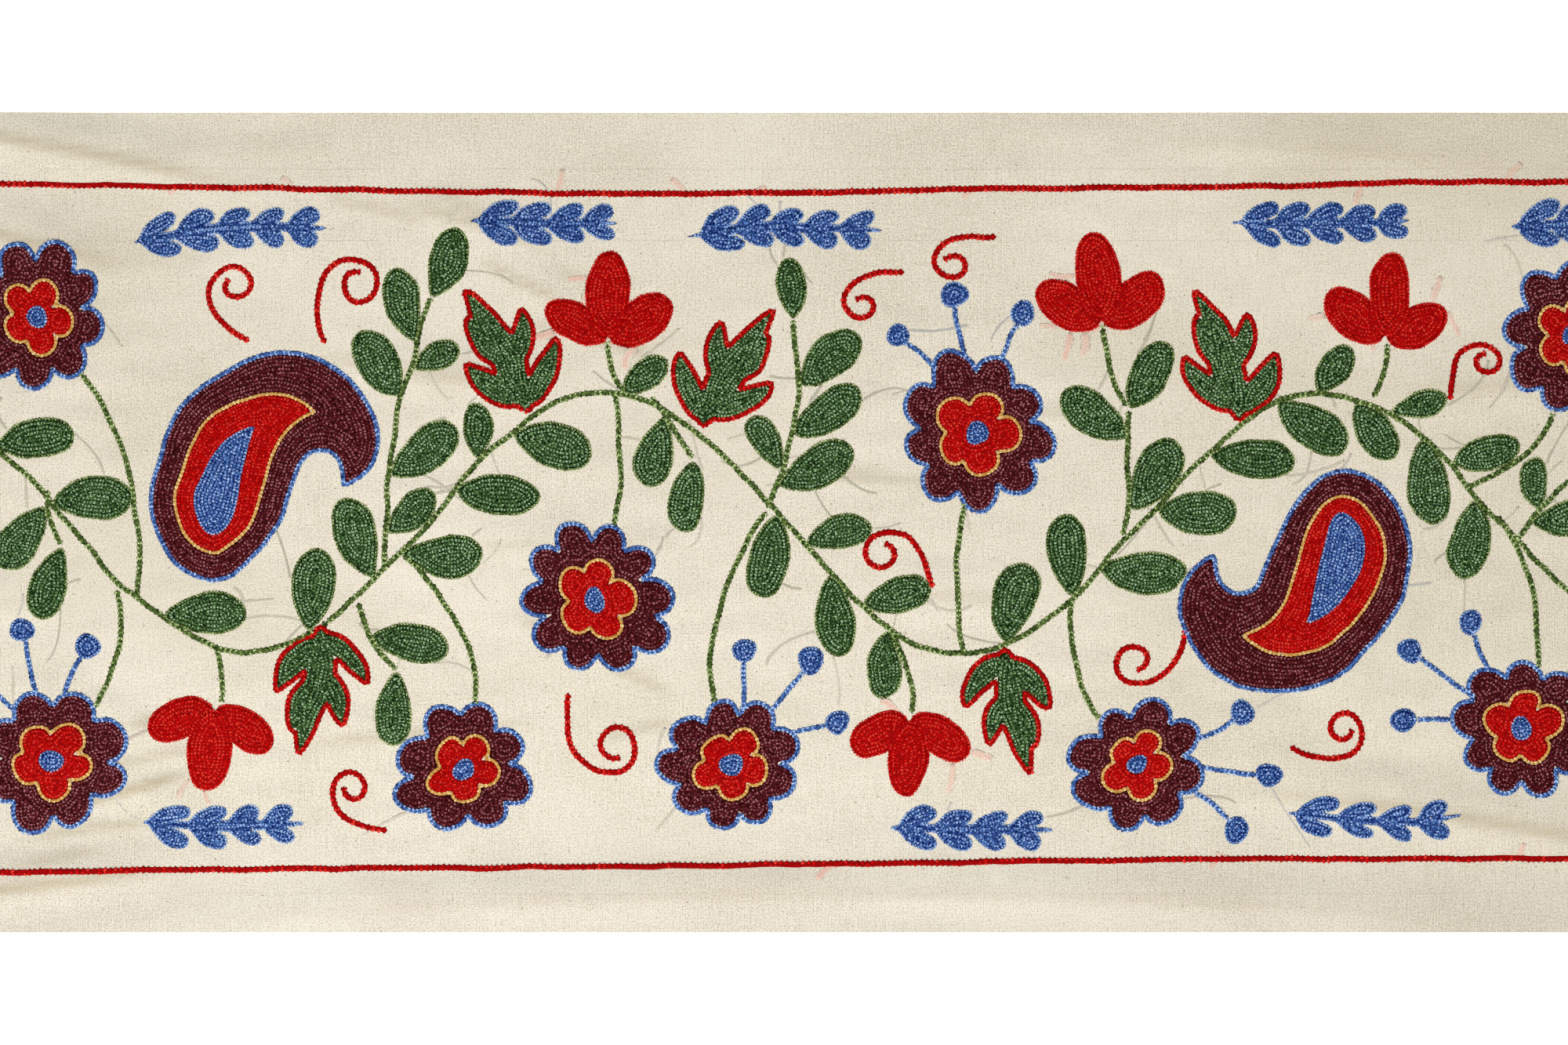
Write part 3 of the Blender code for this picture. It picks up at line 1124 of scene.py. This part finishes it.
def thread_material(name, dark, middle, light):
    """A soft fuzzy thread with a slight gloss."""
    material, tree, shader = new_material(name, roughness=0.7, specular=0.06, sheen=0.0)
    inputs = {"Dark": (*dark, 1.0), "Middle": (*middle, 1.0), "Light": (*light, 1.0)}
    group = tree.nodes.new("ShaderNodeGroup")
    group.node_tree = thread_shade_group()
    for key, value in inputs.items():
        group.inputs[key].default_value = value
    tree.links.new(group.outputs["Color"], shader.inputs["Base Color"])
    fuzz = {"Height": group.outputs["Height"], "Strength": 0.5, "Distance": 0.0002}
    tree.links.new(add_node(tree, "ShaderNodeBump", fuzz).outputs[0], shader.inputs["Normal"])
    return material


# Dark, middle and light thread of each colour. The dark also gives the painted shade of the beds, cores and
# leg edges, and the light the painted glints.
THREAD_COLOURS = {
    "green": (tone(8, 30, 3), tone(104, 142, 84), tone(186, 216, 172)),
    "olive": (tone(22, 42, 2), tone(120, 144, 76), tone(196, 212, 150)),
    "maroon": (tone(44, 0, 2), tone(118, 42, 50), tone(190, 124, 132)),
    "red": (tone(136, 0, 0), tone(222, 5, 4), tone(246, 76, 62)),
    "blue": (tone(6, 32, 92), tone(102, 144, 214), tone(190, 218, 255)),
    "gold": (tone(180, 126, 56), tone(240, 196, 120), tone(252, 230, 170)),
}
# Each piece of thread, its colour and the record's finish for it.
THREAD_PIECES = {
    "leaf_threads": ("green", "green_thread"),
    "flame_threads": ("green", "green_thread"),
    "stem_threads": ("olive", "green_thread"),
    "maroon_threads": ("maroon", "maroon_thread"),
    "red_threads": ("red", "red_thread"),
    "blue_threads": ("blue", "blue_thread"),
    "gold_threads": ("gold", "gold_thread"),
}


def build_floor(settings):
    """A plain white table top under the cloth, lit so evenly that it has no shade of its own."""
    clear_selection()
    bpy.ops.mesh.primitive_plane_add(size=settings.floor_size, location=(0, 0, -0.0005))
    bpy.ops.object.transform_apply(location=True, rotation=False, scale=False)
    floor = bpy.context.object
    floor.name = floor.data.name = "floor"
    material, tree, shader = new_material("white_floor", roughness=0.9, specular=0.1, sheen=0.0)
    shader.inputs["Base Color"].default_value = (*settings.floor_colour, 1.0)
    shader.inputs["Emission Color"].default_value = (1.0, 1.0, 1.0, 1.0)
    shader.inputs["Emission Strength"].default_value = settings.floor_glow
    floor.data.materials.append(material)


def add_lamp(name, place, size, power):
    """A soft square lamp that points at the middle of the cloth."""
    lamp = bpy.data.lights.new(name, "AREA")
    lamp.size = size
    lamp.energy = power
    holder = bpy.data.objects.new(name, lamp)
    holder.location = place
    holder.rotation_euler = (-holder.location).to_track_quat("-Z", "Y").to_euler()
    bpy.context.scene.collection.objects.link(holder)
    return holder


def build_lights(settings):
    """Two soft lamps and the even light of a white room."""
    add_lamp("key_lamp", settings.key_place, size=0.9, power=settings.key_power)
    add_lamp("fill_lamp", settings.fill_place, size=1.6, power=settings.fill_power)
    world = bpy.data.worlds.new("studio")
    world.use_nodes = True
    background = world.node_tree.nodes["Background"]
    background.inputs["Color"].default_value = (1.0, 1.0, 1.0, 1.0)
    background.inputs["Strength"].default_value = settings.world_light
    scene = bpy.context.scene
    scene.world = world
    scene.view_settings.view_transform = "Standard"


def build_camera(settings):
    """Straight above the cloth, and seeing 700 mm of its length as the photo does."""
    camera = bpy.data.cameras.new("camera")
    camera.sensor_width = 36.0
    camera.lens = camera.sensor_width * settings.camera_height / settings.seen_length
    holder = bpy.data.objects.new("camera", camera)
    holder.location = (0.0, 0.0, settings.camera_height)
    bpy.context.scene.collection.objects.link(holder)
    bpy.context.scene.camera = holder


def clear_selection():
    """Deselects everything, because an operator acts on all that is selected."""
    for piece in bpy.context.selected_objects:
        piece.select_set(False)


def mesh_piece(name, corners, faces, smooth=True):
    """A closed piece from corners in millimetres."""
    mesh = bpy.data.meshes.new(name)
    mesh.from_pydata((np.asarray(corners) * MILLIMETRE).tolist(), [], np.asarray(faces).tolist())
    mesh.polygons.foreach_set("use_smooth", np.full(len(mesh.polygons), smooth))
    mesh.update()
    piece = bpy.data.objects.new(name, mesh)
    bpy.context.scene.collection.objects.link(piece)
    return piece


def set_point_values(piece, name, values):
    """Keeps one value for each corner point, for the material to read."""
    found = piece.data.attributes.new(name, "FLOAT", "POINT")
    found.data.foreach_set("value", np.asarray(values, np.float32))


def set_map(piece, places):
    """Gives a piece its own map, from one place for each corner point."""
    layer = piece.data.uv_layers.new(name="OFBake")
    corner_points = np.zeros(len(piece.data.loops), np.int32)
    piece.data.loops.foreach_get("vertex_index", corner_points)
    layer.data.foreach_set("uv", np.asarray(places, np.float32)[corner_points].ravel())


def finish_piece(piece, material):
    """Gives a piece its material and its place in the record."""
    piece.data.materials.clear()
    piece.data.materials.append(material)
    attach(piece, "root")
    return piece


def build_ground_cloth(settings):
    """The woven cloth: a thin closed sheet on the folds, with puckers round the motifs."""
    clear_selection()
    bpy.ops.mesh.primitive_grid_add(
        x_subdivisions=settings.cells_along, y_subdivisions=settings.cells_across, size=1.0
    )
    cloth = bpy.context.object
    cloth.name = cloth.data.name = "ground_cloth"
    cloth.scale = (CLOTH_LENGTH, CLOTH_WIDTH, 1.0)
    bpy.ops.object.transform_apply(location=False, rotation=False, scale=True)
    flat = cloth.modifiers.new("thickness", "SOLIDIFY")
    flat.thickness = settings.thickness
    flat.offset = -1.0
    bpy.ops.object.modifier_apply(modifier=flat.name)
    corners = np.zeros(len(cloth.data.vertices) * 3)
    cloth.data.vertices.foreach_get("co", corners)
    corners = corners.reshape(-1, 3)
    x, y = corners[:, 0] / MILLIMETRE, corners[:, 1] / MILLIMETRE
    upper = corners[:, 2] > -0.5 * settings.thickness
    top = cloth_top(x, y) * MILLIMETRE
    corners[:, 2] = np.where(upper, top, folds_at(x, y) * MILLIMETRE)
    cloth.data.vertices.foreach_set("co", corners.ravel())
    cloth.data.update()
    bpy.ops.object.shade_smooth_by_angle(angle=math.radians(50.0))
    # The creases are also painted darker in the cloth's material, as painted shade.
    set_point_values(cloth, "painted_crease_shade", creases_at(x, y) * upper)
    across = (corners[:, 0] - CLOTH_LOW.x) / CLOTH_LENGTH
    upwards = (corners[:, 1] - CLOTH_LOW.y) / CLOTH_LENGTH
    set_map(cloth, np.stack([across, upwards + np.where(upper, 0.5, 0.0)], 1))
    return finish_piece(cloth, woven_cotton(settings))


# The corners of one leg of a stitch: along it, as a share of the stitch, and aside and up, as shares of
# the thread.
LEG_CORNERS = np.array(
    [
        (-0.60, 0.00, 0.25),
        (0.05, 1.00, 0.40),
        (0.05, 0.00, 1.00),
        (0.05, -1.00, 0.40),
        (0.05, 0.00, 0.00),
        (0.62, 0.00, 0.35),
    ]
)
LEG_FACES = np.array(
    [(0, 2, 1), (0, 3, 2), (0, 4, 3), (0, 1, 4), (5, 1, 2), (5, 2, 3), (5, 3, 4), (5, 4, 1)]
)
LEG_START_ASIDE = 0.03
LEG_END_ASIDE = 0.27
LEG_HALF_WIDTH = 0.23
LEG_LEAN = 0.36
# A leg's outer edge is darker, as painted shade, by this times a draw between the two, and its middle
# lighter, as painted light.
LEG_EDGE_PAINTED_SHADE = -0.4
EDGE_SHADE_FROM, EDGE_SHADE_TO = 0.2, 1.8
LEG_MIDDLE_PAINTED_LIGHT = 0.1
ROW_END_ASIDE = 0.26
ROW_STITCH_SHARE = 0.85
ROW_LIVELINESS = 2.4
# How unlike each other the legs are: in shade, in width, along the row and in height.
SHADE_SPREAD = 0.2
WIDTH_SPREAD = 0.1
ALONG_SPREAD = 0.06
RISE_SPREAD = 0.12
BRIGHTNESS_SHARE = 0.12
DARKEST_SHADE = 0.05
GLINT_FROM, GLINT_TO = 0.25, 0.6
# The beds are coloured near the darkest thread, as painted shade in the gaps between the stitches.
BED_PAINTED_SHADE = 0.06
BED_RISE = 0.22
BED_MARGIN = 0.6
BED_RIM_STEP = 2.2
BED_CELL = 3.5
BED_INNER_DEPTH = 1.6
# The cores are coloured at this share of their row's shade, darker, as painted shade between the links.
CORE_PAINTED_SHADE_SHARE = 0.3
CORE_SHARE_OF_WIDTH = 0.31
CORE_END_SHARE = 0.3
CORE_UNEVENNESS = 0.1
# A row of stitches has a low core of thread under it: places across it, as shares of its half width,
# and rises.
CORE_PROFILE = ((-1.0, -0.1), (-0.62, 0.36), (0.62, 0.36), (1.0, -0.1), (0.0, -0.3))


def stitch_legs(stitches, settings, chance):
    """The corners of both legs of each stitch, which open in a V as a chain stitch does, and their shades."""
    found, shades = [], []
    for side in (1.0, -1.0):
        count = len(stitches)
        x, y, way, length, brightness, width, usual = (stitches[:, [column]] for column in range(7))
        filling = width == FILL_ROW
        length = np.where(filling, length, ROW_STITCH_SHARE * length)
        way = way + chance.normal(0.0, LEG_LEAN, (count, 1)) * filling
        share = LEG_CORNERS[:, 0]
        end_aside = np.where(filling, LEG_END_ASIDE, ROW_END_ASIDE)
        opened = (share - share.min()) / (share.max() - share.min())
        spread = LEG_START_ASIDE + (end_aside - LEG_START_ASIDE) * opened
        uneven = chance.normal(1.0, WIDTH_SPREAD, (count, 1))
        along = share * length + chance.normal(0.0, ALONG_SPREAD, (count, 1)) * length
        aside = (side * spread + LEG_HALF_WIDTH * uneven * LEG_CORNERS[:, 1]) * width
        corner_x = x + along * np.cos(way) - aside * np.sin(way)
        corner_y = y + along * np.sin(way) + aside * np.cos(way)
        rise = settings.stitch_rise / MILLIMETRE * chance.normal(1.0, RISE_SPREAD, (count, 1))
        under = cloth_top(x[:, 0], y[:, 0])[:, None]
        corner_z = under - STITCH_SINK + rise * LEG_CORNERS[:, 2]
        found.append(np.stack([corner_x, corner_y, corner_z], 2))
        liveliness = np.where(filling, 1.0, ROW_LIVELINESS)
        noise = chance.normal(0.0, SHADE_SPREAD, (count, 1))
        shade = usual + liveliness * (BRIGHTNESS_SHARE * brightness + noise)
        # Painted glints: some legs get a lighter shade, as painted highlights.
        glint = chance.random((count, 1)) < settings.painted_glint_share
        shade = np.where(glint, usual + chance.uniform(GLINT_FROM, GLINT_TO, (count, 1)), shade)
        # Painted shade on each leg's outer edge and painted light along its middle, which draw dark lines
        # between the rows.
        painted_edge_shade = LEG_EDGE_PAINTED_SHADE * chance.uniform(EDGE_SHADE_FROM, EDGE_SHADE_TO, (count, 1))
        outer = LEG_CORNERS[:, 1] == side
        shade = np.clip(shade, DARKEST_SHADE, 1.0) + np.where(outer, painted_edge_shade, LEG_MIDDLE_PAINTED_LIGHT)
        shades.append(np.clip(shade, 0.0, 1.0))
    return np.concatenate(found), np.concatenate(shades)


def bed_under(motif):
    """A thin closed pad of thread under a motif's rows, dark as painted shade in the gaps between the
    stitches: its corners and faces.
    """
    x, y, depth = motif.map()
    ring_points, ring_sides = [], []
    for line in level_lines(x, y, depth, BED_MARGIN):
        run = length_along(line)
        count = max(int(run[-1] / BED_RIM_STEP), 3)
        places = np.arange(count) / count * run[-1]
        first = len(ring_points)
        ring_points += list(zip(np.interp(places, run, line[:, 0]), np.interp(places, run, line[:, 1])))
        ring_sides += [(first + n, first + (n + 1) % count) for n in range(count)]
    step = max(int(round(BED_CELL / DRAWN_CELL)), 1)
    inner = depth[::step, ::step] > BED_INNER_DEPTH
    inner_points = list(zip(x[::step, ::step][inner], y[::step, ::step][inner]))
    points, _, faces, *_ = delaunay_2d_cdt(ring_points + inner_points, ring_sides, [], 1, 1e-4)
    points = np.array([tuple(point) for point in points]).reshape(-1, 2)
    faces = np.array([face for face in faces if len(face) == 3]).reshape(-1, 3)
    if not len(faces):
        return None
    middle = points[faces].mean(1)
    faces = faces[motif.depth(middle[:, 0], middle[:, 1]) > BED_MARGIN]
    corner = points[faces]
    turn = np.cross(corner[:, 1] - corner[:, 0], corner[:, 2] - corner[:, 0])
    faces[turn < 0] = faces[turn < 0][:, ::-1]
    used, faces = np.unique(faces, return_inverse=True)
    points, faces = points[used], faces.reshape(-1, 3)
    sides = [side for face in faces.tolist() for side in zip(face, face[1:] + face[:1])]
    both_ways = set(sides)
    rim = [(start, end) for start, end in sides if (end, start) not in both_ways]
    top = cloth_top(points[:, 0], points[:, 1])
    upper = np.c_[points, top + BED_RISE]
    lower = np.c_[points, top - STITCH_SINK]
    count = len(points)
    walls = [(end, start, start + count) for start, end in rim]
    walls += [(end, start + count, end + count) for start, end in rim]
    closed = np.concatenate([faces, faces[:, ::-1] + count, np.array(walls)])
    return np.concatenate([upper, lower]), closed


def ridge_along(line, half_widths, profile):
    """A closed ridge on the cloth along a line: its corners, ring by ring, and its faces."""
    across, upwards = np.gradient(line[:, 0]), np.gradient(line[:, 1])
    pace = np.maximum(np.hypot(across, upwards), 1e-6)
    aside = np.stack([-upwards / pace, across / pace], 1)
    rings = []
    for place, rise in profile:
        spot = line + aside * (place * half_widths)[:, None]
        rings.append(np.c_[spot, cloth_top(spot[:, 0], spot[:, 1]) + rise])
    sides = len(profile)
    faces = []
    for ring in range(len(line) - 1):
        for side in range(sides):
            one, other = ring * sides + side, ring * sides + (side + 1) % sides
            faces += [(one, one + sides, other), (other, one + sides, other + sides)]
    last = (len(line) - 1) * sides
    faces += [(0, side, side + 1) for side in range(1, sides - 1)]
    faces += [(last, last + side + 1, last + side) for side in range(1, sides - 1)]
    return np.stack(rings, 1).reshape(-1, 3), np.array(faces)[:, ::-1]


def core_under(line, width):
    """The core of thread under a row, which thins out at its ends."""
    run = length_along(line)
    ends = np.clip(CORE_END_SHARE + np.minimum(run, run[-1] - run) / width, 0.0, 1.0)
    uneven = 1.0 + CORE_UNEVENNESS * waver(line[:, 0], line[:, 1], reach=5.0, seed=12)
    return ridge_along(line, CORE_SHARE_OF_WIDTH * width * ends * uneven, CORE_PROFILE)


def joined(meshes):
    """The corners and faces of several meshes as one, and how many corners each has."""
    counts = [len(corners) for corners, _ in meshes]
    starts = np.cumsum([0, *counts[:-1]])
    faces = [faces + start for (_, faces), start in zip(meshes, starts)]
    return np.concatenate([corners for corners, _ in meshes]), np.concatenate(faces), counts


def map_by_cells(piece, corners, counts):
    """Gives each stitch and each bed a cell of its own in the map."""
    cells = math.ceil(math.sqrt(len(counts)))
    cell = np.repeat(np.arange(len(counts)), counts)
    inside = 0.5 + 0.3 * np.sin(corners[:, :2] * 9.0)
    set_map(piece, (np.stack([cell % cells, cell // cells], 1) + inside) / cells)


def build_threads(name, material, settings):
    """One piece of thread: the stitches of one colour and the beds under them, which are coloured darker as
    painted shade between the stitches.
    """
    work = embroidery()
    chance = np.random.default_rng(len(name))
    legs, shades = stitch_legs(np.concatenate(work.stitches[name]), settings, chance)
    firsts = len(LEG_CORNERS) * np.arange(len(legs))[:, None, None]
    all_legs = (legs.reshape(-1, 3), (LEG_FACES + firsts).reshape(-1, 3))
    beds = [(bed_under(motif), BED_PAINTED_SHADE) for motif in work.grounds.get(name, [])]
    for line, width, shade in work.cores.get(name, []):
        beds.append((core_under(line, width), CORE_PAINTED_SHADE_SHARE * shade))
    beds = [(bed, shade) for bed, shade in beds if bed is not None]
    corners, faces, counts = joined([all_legs, *[bed for bed, _ in beds]])
    bed_shades = np.repeat([shade for _, shade in beds], counts[1:])
    piece = mesh_piece(name, corners, faces)
    set_point_values(piece, "shade", np.concatenate([shades.ravel(), bed_shades]))
    map_by_cells(piece, corners, [len(LEG_CORNERS)] * len(legs) + counts[1:])
    return finish_piece(piece, material)


# What shows through of the thread on the reverse: how many there are of each, where they start, and
# their length, width, strength and colour.
TAIL_COLUMNS = ("count", "thread", "shortest", "longest", "half_width", "strength", "tint")
TAILS = (
    (90, "leaf_threads", 5.0, 30.0, 0.85, 0.72, tone(140, 140, 114)),
    (30, "maroon_threads", 5.0, 28.0, 0.85, 0.65, tone(150, 130, 120)),
    (44, "red_threads", 4.0, 14.0, 1.9, 0.6, tone(232, 150, 134)),
    (24, "blue_threads", 8.0, 34.0, 0.8, 0.7, tone(146, 150, 156)),
    (18, "border_lines", 4.0, 13.0, 1.8, 0.6, tone(232, 150, 134)),
)
# A tail's ridge: places across it, as shares of its half width, rises, and shares of its tint.
TAIL_PROFILE = ((-1.0, -0.06), (-0.5, 0.05), (0.0, 0.08), (0.5, 0.05), (1.0, -0.06), (0.0, -0.3))
TAIL_TINT = (0.0, 0.6, 1.0, 0.6, 0.0, 0.0)
# No tail reaches farther than this from the middle of the cloth, along and across it.
TAIL_REACH = (396.0, 178.0)
TAIL_SPREAD = 45.0
TAIL_BEND = 25.0
TAIL_CURL = 35.0
# How unlike each other the tails of one thread are, as shares of its half width and strength.
TAIL_WIDTHS = (0.8, 1.3)
TAIL_STRENGTHS = (0.5, 1.0)


def tail_line(outline, length, chance):
    """A loose end that wanders off from a motif's outline or from a border line."""
    start = int(chance.integers(len(outline)))
    middle = outline.mean(0)
    is_border = np.ptp(outline[:, 0]) > CLOTH_LENGTH / MILLIMETRE / 2
    if is_border:
        away = chance.choice((-90.0, 90.0))
    else:
        away = math.degrees(math.atan2(outline[start, 1] - middle[1], outline[start, 0] - middle[0]))
    heading = away + chance.normal(0.0, TAIL_SPREAD)
    bend, curl = chance.normal(0.0, (TAIL_BEND, TAIL_CURL))
    return curling_line(*outline[start], heading, length, bend, curl)


def build_thread_tails(settings):
    """The reverse thread ends that show through the cloth, as faint tinted ridges in it."""
    chance = np.random.default_rng(11)
    outlines = {name: [motif.outlines[0] for motif in found] for name, found in embroidery().grounds.items()}
    outlines["border_lines"] = [border_line("upper_y"), border_line("lower_y")]
    ridges, shares, tints = [], [], []
    for row in rows_of(TAIL_COLUMNS, TAILS):
        for _ in range(row["count"]):
            outline = outlines[row["thread"]][int(chance.integers(len(outlines[row["thread"]])))]
            line = tail_line(outline, chance.uniform(row["shortest"], row["longest"]), chance)
            if (np.abs(line).max(0) > TAIL_REACH).any():
                continue
            half_width = row["half_width"] * chance.uniform(*TAIL_WIDTHS)
            strength = row["strength"] * chance.uniform(*TAIL_STRENGTHS)
            ends = np.clip(4.0 * np.sin(np.pi * np.linspace(0.04, 0.96, len(line))), 0.0, 1.0)
            ridges.append(ridge_along(line, half_width * (0.4 + 0.6 * ends), TAIL_PROFILE))
            shares.append(np.outer(ends, TAIL_TINT).ravel() * strength)
            tints.append(np.tile((*row["tint"], 1.0), (len(shares[-1]), 1)))
    corners, faces, _ = joined(ridges)
    piece = mesh_piece("thread_tails", corners, faces)
    set_point_values(piece, "tail_share", np.concatenate(shares))
    tint = piece.data.attributes.new("tail_tint", "FLOAT_COLOR", "POINT")
    tint.data.foreach_set("color", np.concatenate(tints).astype(np.float32).ravel())
    set_map(piece, (corners[:, :2] * MILLIMETRE - (CLOTH_LOW.x, CLOTH_LOW.y)) / CLOTH_LENGTH)
    return finish_piece(piece, woven_cotton(settings))


class GroundSettings(bpy.types.PropertyGroup):
    """The woven cloth's sizes and colours."""

    thickness: bpy.props.FloatProperty(
        name="Cloth thickness",
        description="Thickness of the woven cloth without its stitches",
        default=0.0006,
        unit="LENGTH",
    )
    pucker_height: bpy.props.FloatProperty(
        name="Pucker height",
        description="How far the cloth puckers where the stitches draw it in",
        default=0.00032,
        unit="LENGTH",
    )
    cells_along: bpy.props.IntProperty(
        name="Cells along",
        description="Cells of the cloth's mesh along its length",
        default=250,
    )
    cells_across: bpy.props.IntProperty(
        name="Cells across",
        description="Cells of the cloth's mesh across its width",
        default=114,
    )
    warp_pitch: bpy.props.FloatProperty(
        name="Warp pitch",
        description="Distance between the threads that run across the cloth",
        default=0.00073,
        unit="LENGTH",
    )
    weft_pitch: bpy.props.FloatProperty(
        name="Weft pitch",
        description="Distance between the threads that run along the cloth",
        default=0.00053,
        unit="LENGTH",
    )
    weave_depth: bpy.props.FloatProperty(
        name="Weave depth",
        description="Height of the woven threads' relief",
        default=0.00016,
        unit="LENGTH",
    )
    flecks_a_metre: bpy.props.FloatProperty(
        name="Flecks a metre",
        description="How many seed flecks the cotton has along a metre",
        default=95.0,
    )
    bright_cotton: bpy.props.FloatVectorProperty(
        name="Bright cotton",
        description="Colour of the cotton's lightest threads",
        default=tone(243, 235, 217),
        subtype="COLOR",
    )
    shaded_cotton: bpy.props.FloatVectorProperty(
        name="Shaded cotton",
        description="Colour of the cotton's darkest threads",
        default=tone(193, 182, 157),
        subtype="COLOR",
    )
    # This colour serves the faint stains, and the painted shade along the creases.
    stain_and_crease_shade_colour: bpy.props.FloatVectorProperty(
        name="Crease colour",
        description="Colour of the faint dust along the creases",
        default=tone(176, 158, 124),
        subtype="COLOR",
    )
    fleck_colour: bpy.props.FloatVectorProperty(
        name="Fleck colour",
        description="Colour of the cotton's seed flecks",
        default=tone(120, 98, 72),
        subtype="COLOR",
    )


class ThreadSettings(bpy.types.PropertyGroup):
    """The size of the chain stitches."""

    stitch_rise: bpy.props.FloatProperty(
        name="Stitch rise",
        description="How far a stitch of the filled shapes stands up",
        default=0.0008,
        unit="LENGTH",
    )
    # The glints are painted highlights in the legs' shade.
    painted_glint_share: bpy.props.FloatProperty(
        name="Glints",
        description="Share of the threads that catch the light",
        default=0.14,
        subtype="FACTOR",
    )


class StageSettings(bpy.types.PropertyGroup):
    """The camera, lamps and floor."""

    camera_height: bpy.props.FloatProperty(
        name="Camera height",
        description="Height of the camera above the table",
        default=2.5,
        unit="LENGTH",
    )
    seen_length: bpy.props.FloatProperty(
        name="Seen length",
        description="How much of the cloth's length the camera sees",
        default=0.7,
        unit="LENGTH",
    )
    floor_size: bpy.props.FloatProperty(
        name="Floor size",
        description="Side of the square floor",
        default=12.0,
        unit="LENGTH",
    )
    floor_glow: bpy.props.FloatProperty(
        name="Floor glow",
        description="Light that the floor gives, which keeps it white",
        default=0.8,
    )
    floor_colour: bpy.props.FloatVectorProperty(
        name="Floor colour",
        description="Colour of the floor",
        default=(0.9, 0.9, 0.9),
        subtype="COLOR",
    )
    key_place: bpy.props.FloatVectorProperty(
        name="Key lamp place",
        description="Where the main lamp hangs",
        default=(-0.4, -1.2, 1.2),
        subtype="TRANSLATION",
        unit="LENGTH",
    )
    key_power: bpy.props.FloatProperty(
        name="Key lamp power",
        description="Power of the main lamp",
        default=23.0,
        unit="POWER",
    )
    fill_place: bpy.props.FloatVectorProperty(
        name="Fill lamp place",
        description="Where the second lamp hangs",
        default=(0.5, 1.0, 1.9),
        subtype="TRANSLATION",
        unit="LENGTH",
    )
    fill_power: bpy.props.FloatProperty(
        name="Fill lamp power",
        description="Power of the second lamp",
        default=10.5,
        unit="POWER",
    )
    world_light: bpy.props.FloatProperty(
        name="Room light",
        description="Strength of the even light from all round",
        default=0.40,
    )


class TABLECLOTH_OT_ground_cloth(bpy.types.Operator):
    """Lays the woven cloth on its folds"""

    bl_idname = "tablecloth.ground_cloth"
    bl_label = "Lay the woven cloth"

    def execute(self, context):
        cloth = build_ground_cloth(context.scene.ground_settings)
        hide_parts("cloth")
        return {"FINISHED"}


class TABLECLOTH_OT_threads(bpy.types.Operator):
    """Sews the chain stitches, one piece for each thread"""

    bl_idname = "tablecloth.threads"
    bl_label = "Sew the chain stitches"

    def execute(self, context):
        materials = {}
        for colour, shades in THREAD_COLOURS.items():
            materials[colour] = thread_material(colour + "_wool", *shades)
        for name, (colour, slot) in THREAD_PIECES.items():
            build_threads(name, materials[colour], context.scene.thread_settings)
        return {"FINISHED"}


class TABLECLOTH_OT_thread_tails(bpy.types.Operator):
    """Adds the reverse thread ends that show through the cloth"""

    bl_idname = "tablecloth.thread_tails"
    bl_label = "Add the thread ends"

    def execute(self, context):
        build_thread_tails(context.scene.ground_settings)
        return {"FINISHED"}


class TABLECLOTH_OT_declare_sheet(bpy.types.Operator):
    bl_idname = "tablecloth.declare_sheet"
    bl_label = "Declare the sheet"

    def execute(self, context):
        return {"FINISHED"}


class TABLECLOTH_OT_stage(bpy.types.Operator):
    """Makes the floor, the lamps and the camera"""

    bl_idname = "tablecloth.stage"
    bl_label = "Set the stage"

    def execute(self, context):
        settings = context.scene.stage_settings
        build_floor(settings)
        build_lights(settings)
        build_camera(settings)
        return {"FINISHED"}


class TABLECLOTH_PT_steps(bpy.types.Panel):
    """Lists the steps and settings in the sidebar"""

    bl_idname = "TABLECLOTH_PT_steps"
    bl_label = "Embroidered Tablecloth"
    bl_space_type = "VIEW_3D"
    bl_region_type = "UI"
    bl_category = "Tablecloth"

    def draw(self, context):
        for step in STEPS:
            self.layout.operator(step.bl_idname)
        for name in SETTINGS:
            box = self.layout.box()
            settings = getattr(context.scene, name)
            for field in settings.bl_rna.properties.keys():
                if field not in ("rna_type", "name"):
                    box.prop(settings, field)


STEPS = (
    TABLECLOTH_OT_ground_cloth,
    TABLECLOTH_OT_threads,
    TABLECLOTH_OT_thread_tails,
    TABLECLOTH_OT_declare_sheet,
    TABLECLOTH_OT_stage,
)
SETTINGS = {
    "ground_settings": GroundSettings,
    "thread_settings": ThreadSettings,
    "stage_settings": StageSettings,
}


def register():
    """Adds the steps, the panel and the scene's settings to Blender."""
    for kind in (*SETTINGS.values(), *STEPS, TABLECLOTH_PT_steps):
        bpy.utils.register_class(kind)
    for name, kind in SETTINGS.items():
        setattr(bpy.types.Scene, name, bpy.props.PointerProperty(type=kind))


def unregister():
    """Takes away what register adds."""
    for name in SETTINGS:
        delattr(bpy.types.Scene, name)
    for kind in (TABLECLOTH_PT_steps, *reversed(STEPS), *reversed(SETTINGS.values())):
        bpy.utils.unregister_class(kind)


def main():
    """Takes all the steps in order."""
    register()
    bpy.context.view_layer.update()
    bpy.ops.tablecloth.ground_cloth()
    bpy.ops.tablecloth.threads()
    bpy.ops.tablecloth.thread_tails()
    bpy.ops.tablecloth.declare_sheet()
    bpy.ops.tablecloth.stage()


if __name__ == "__main__":
    main()
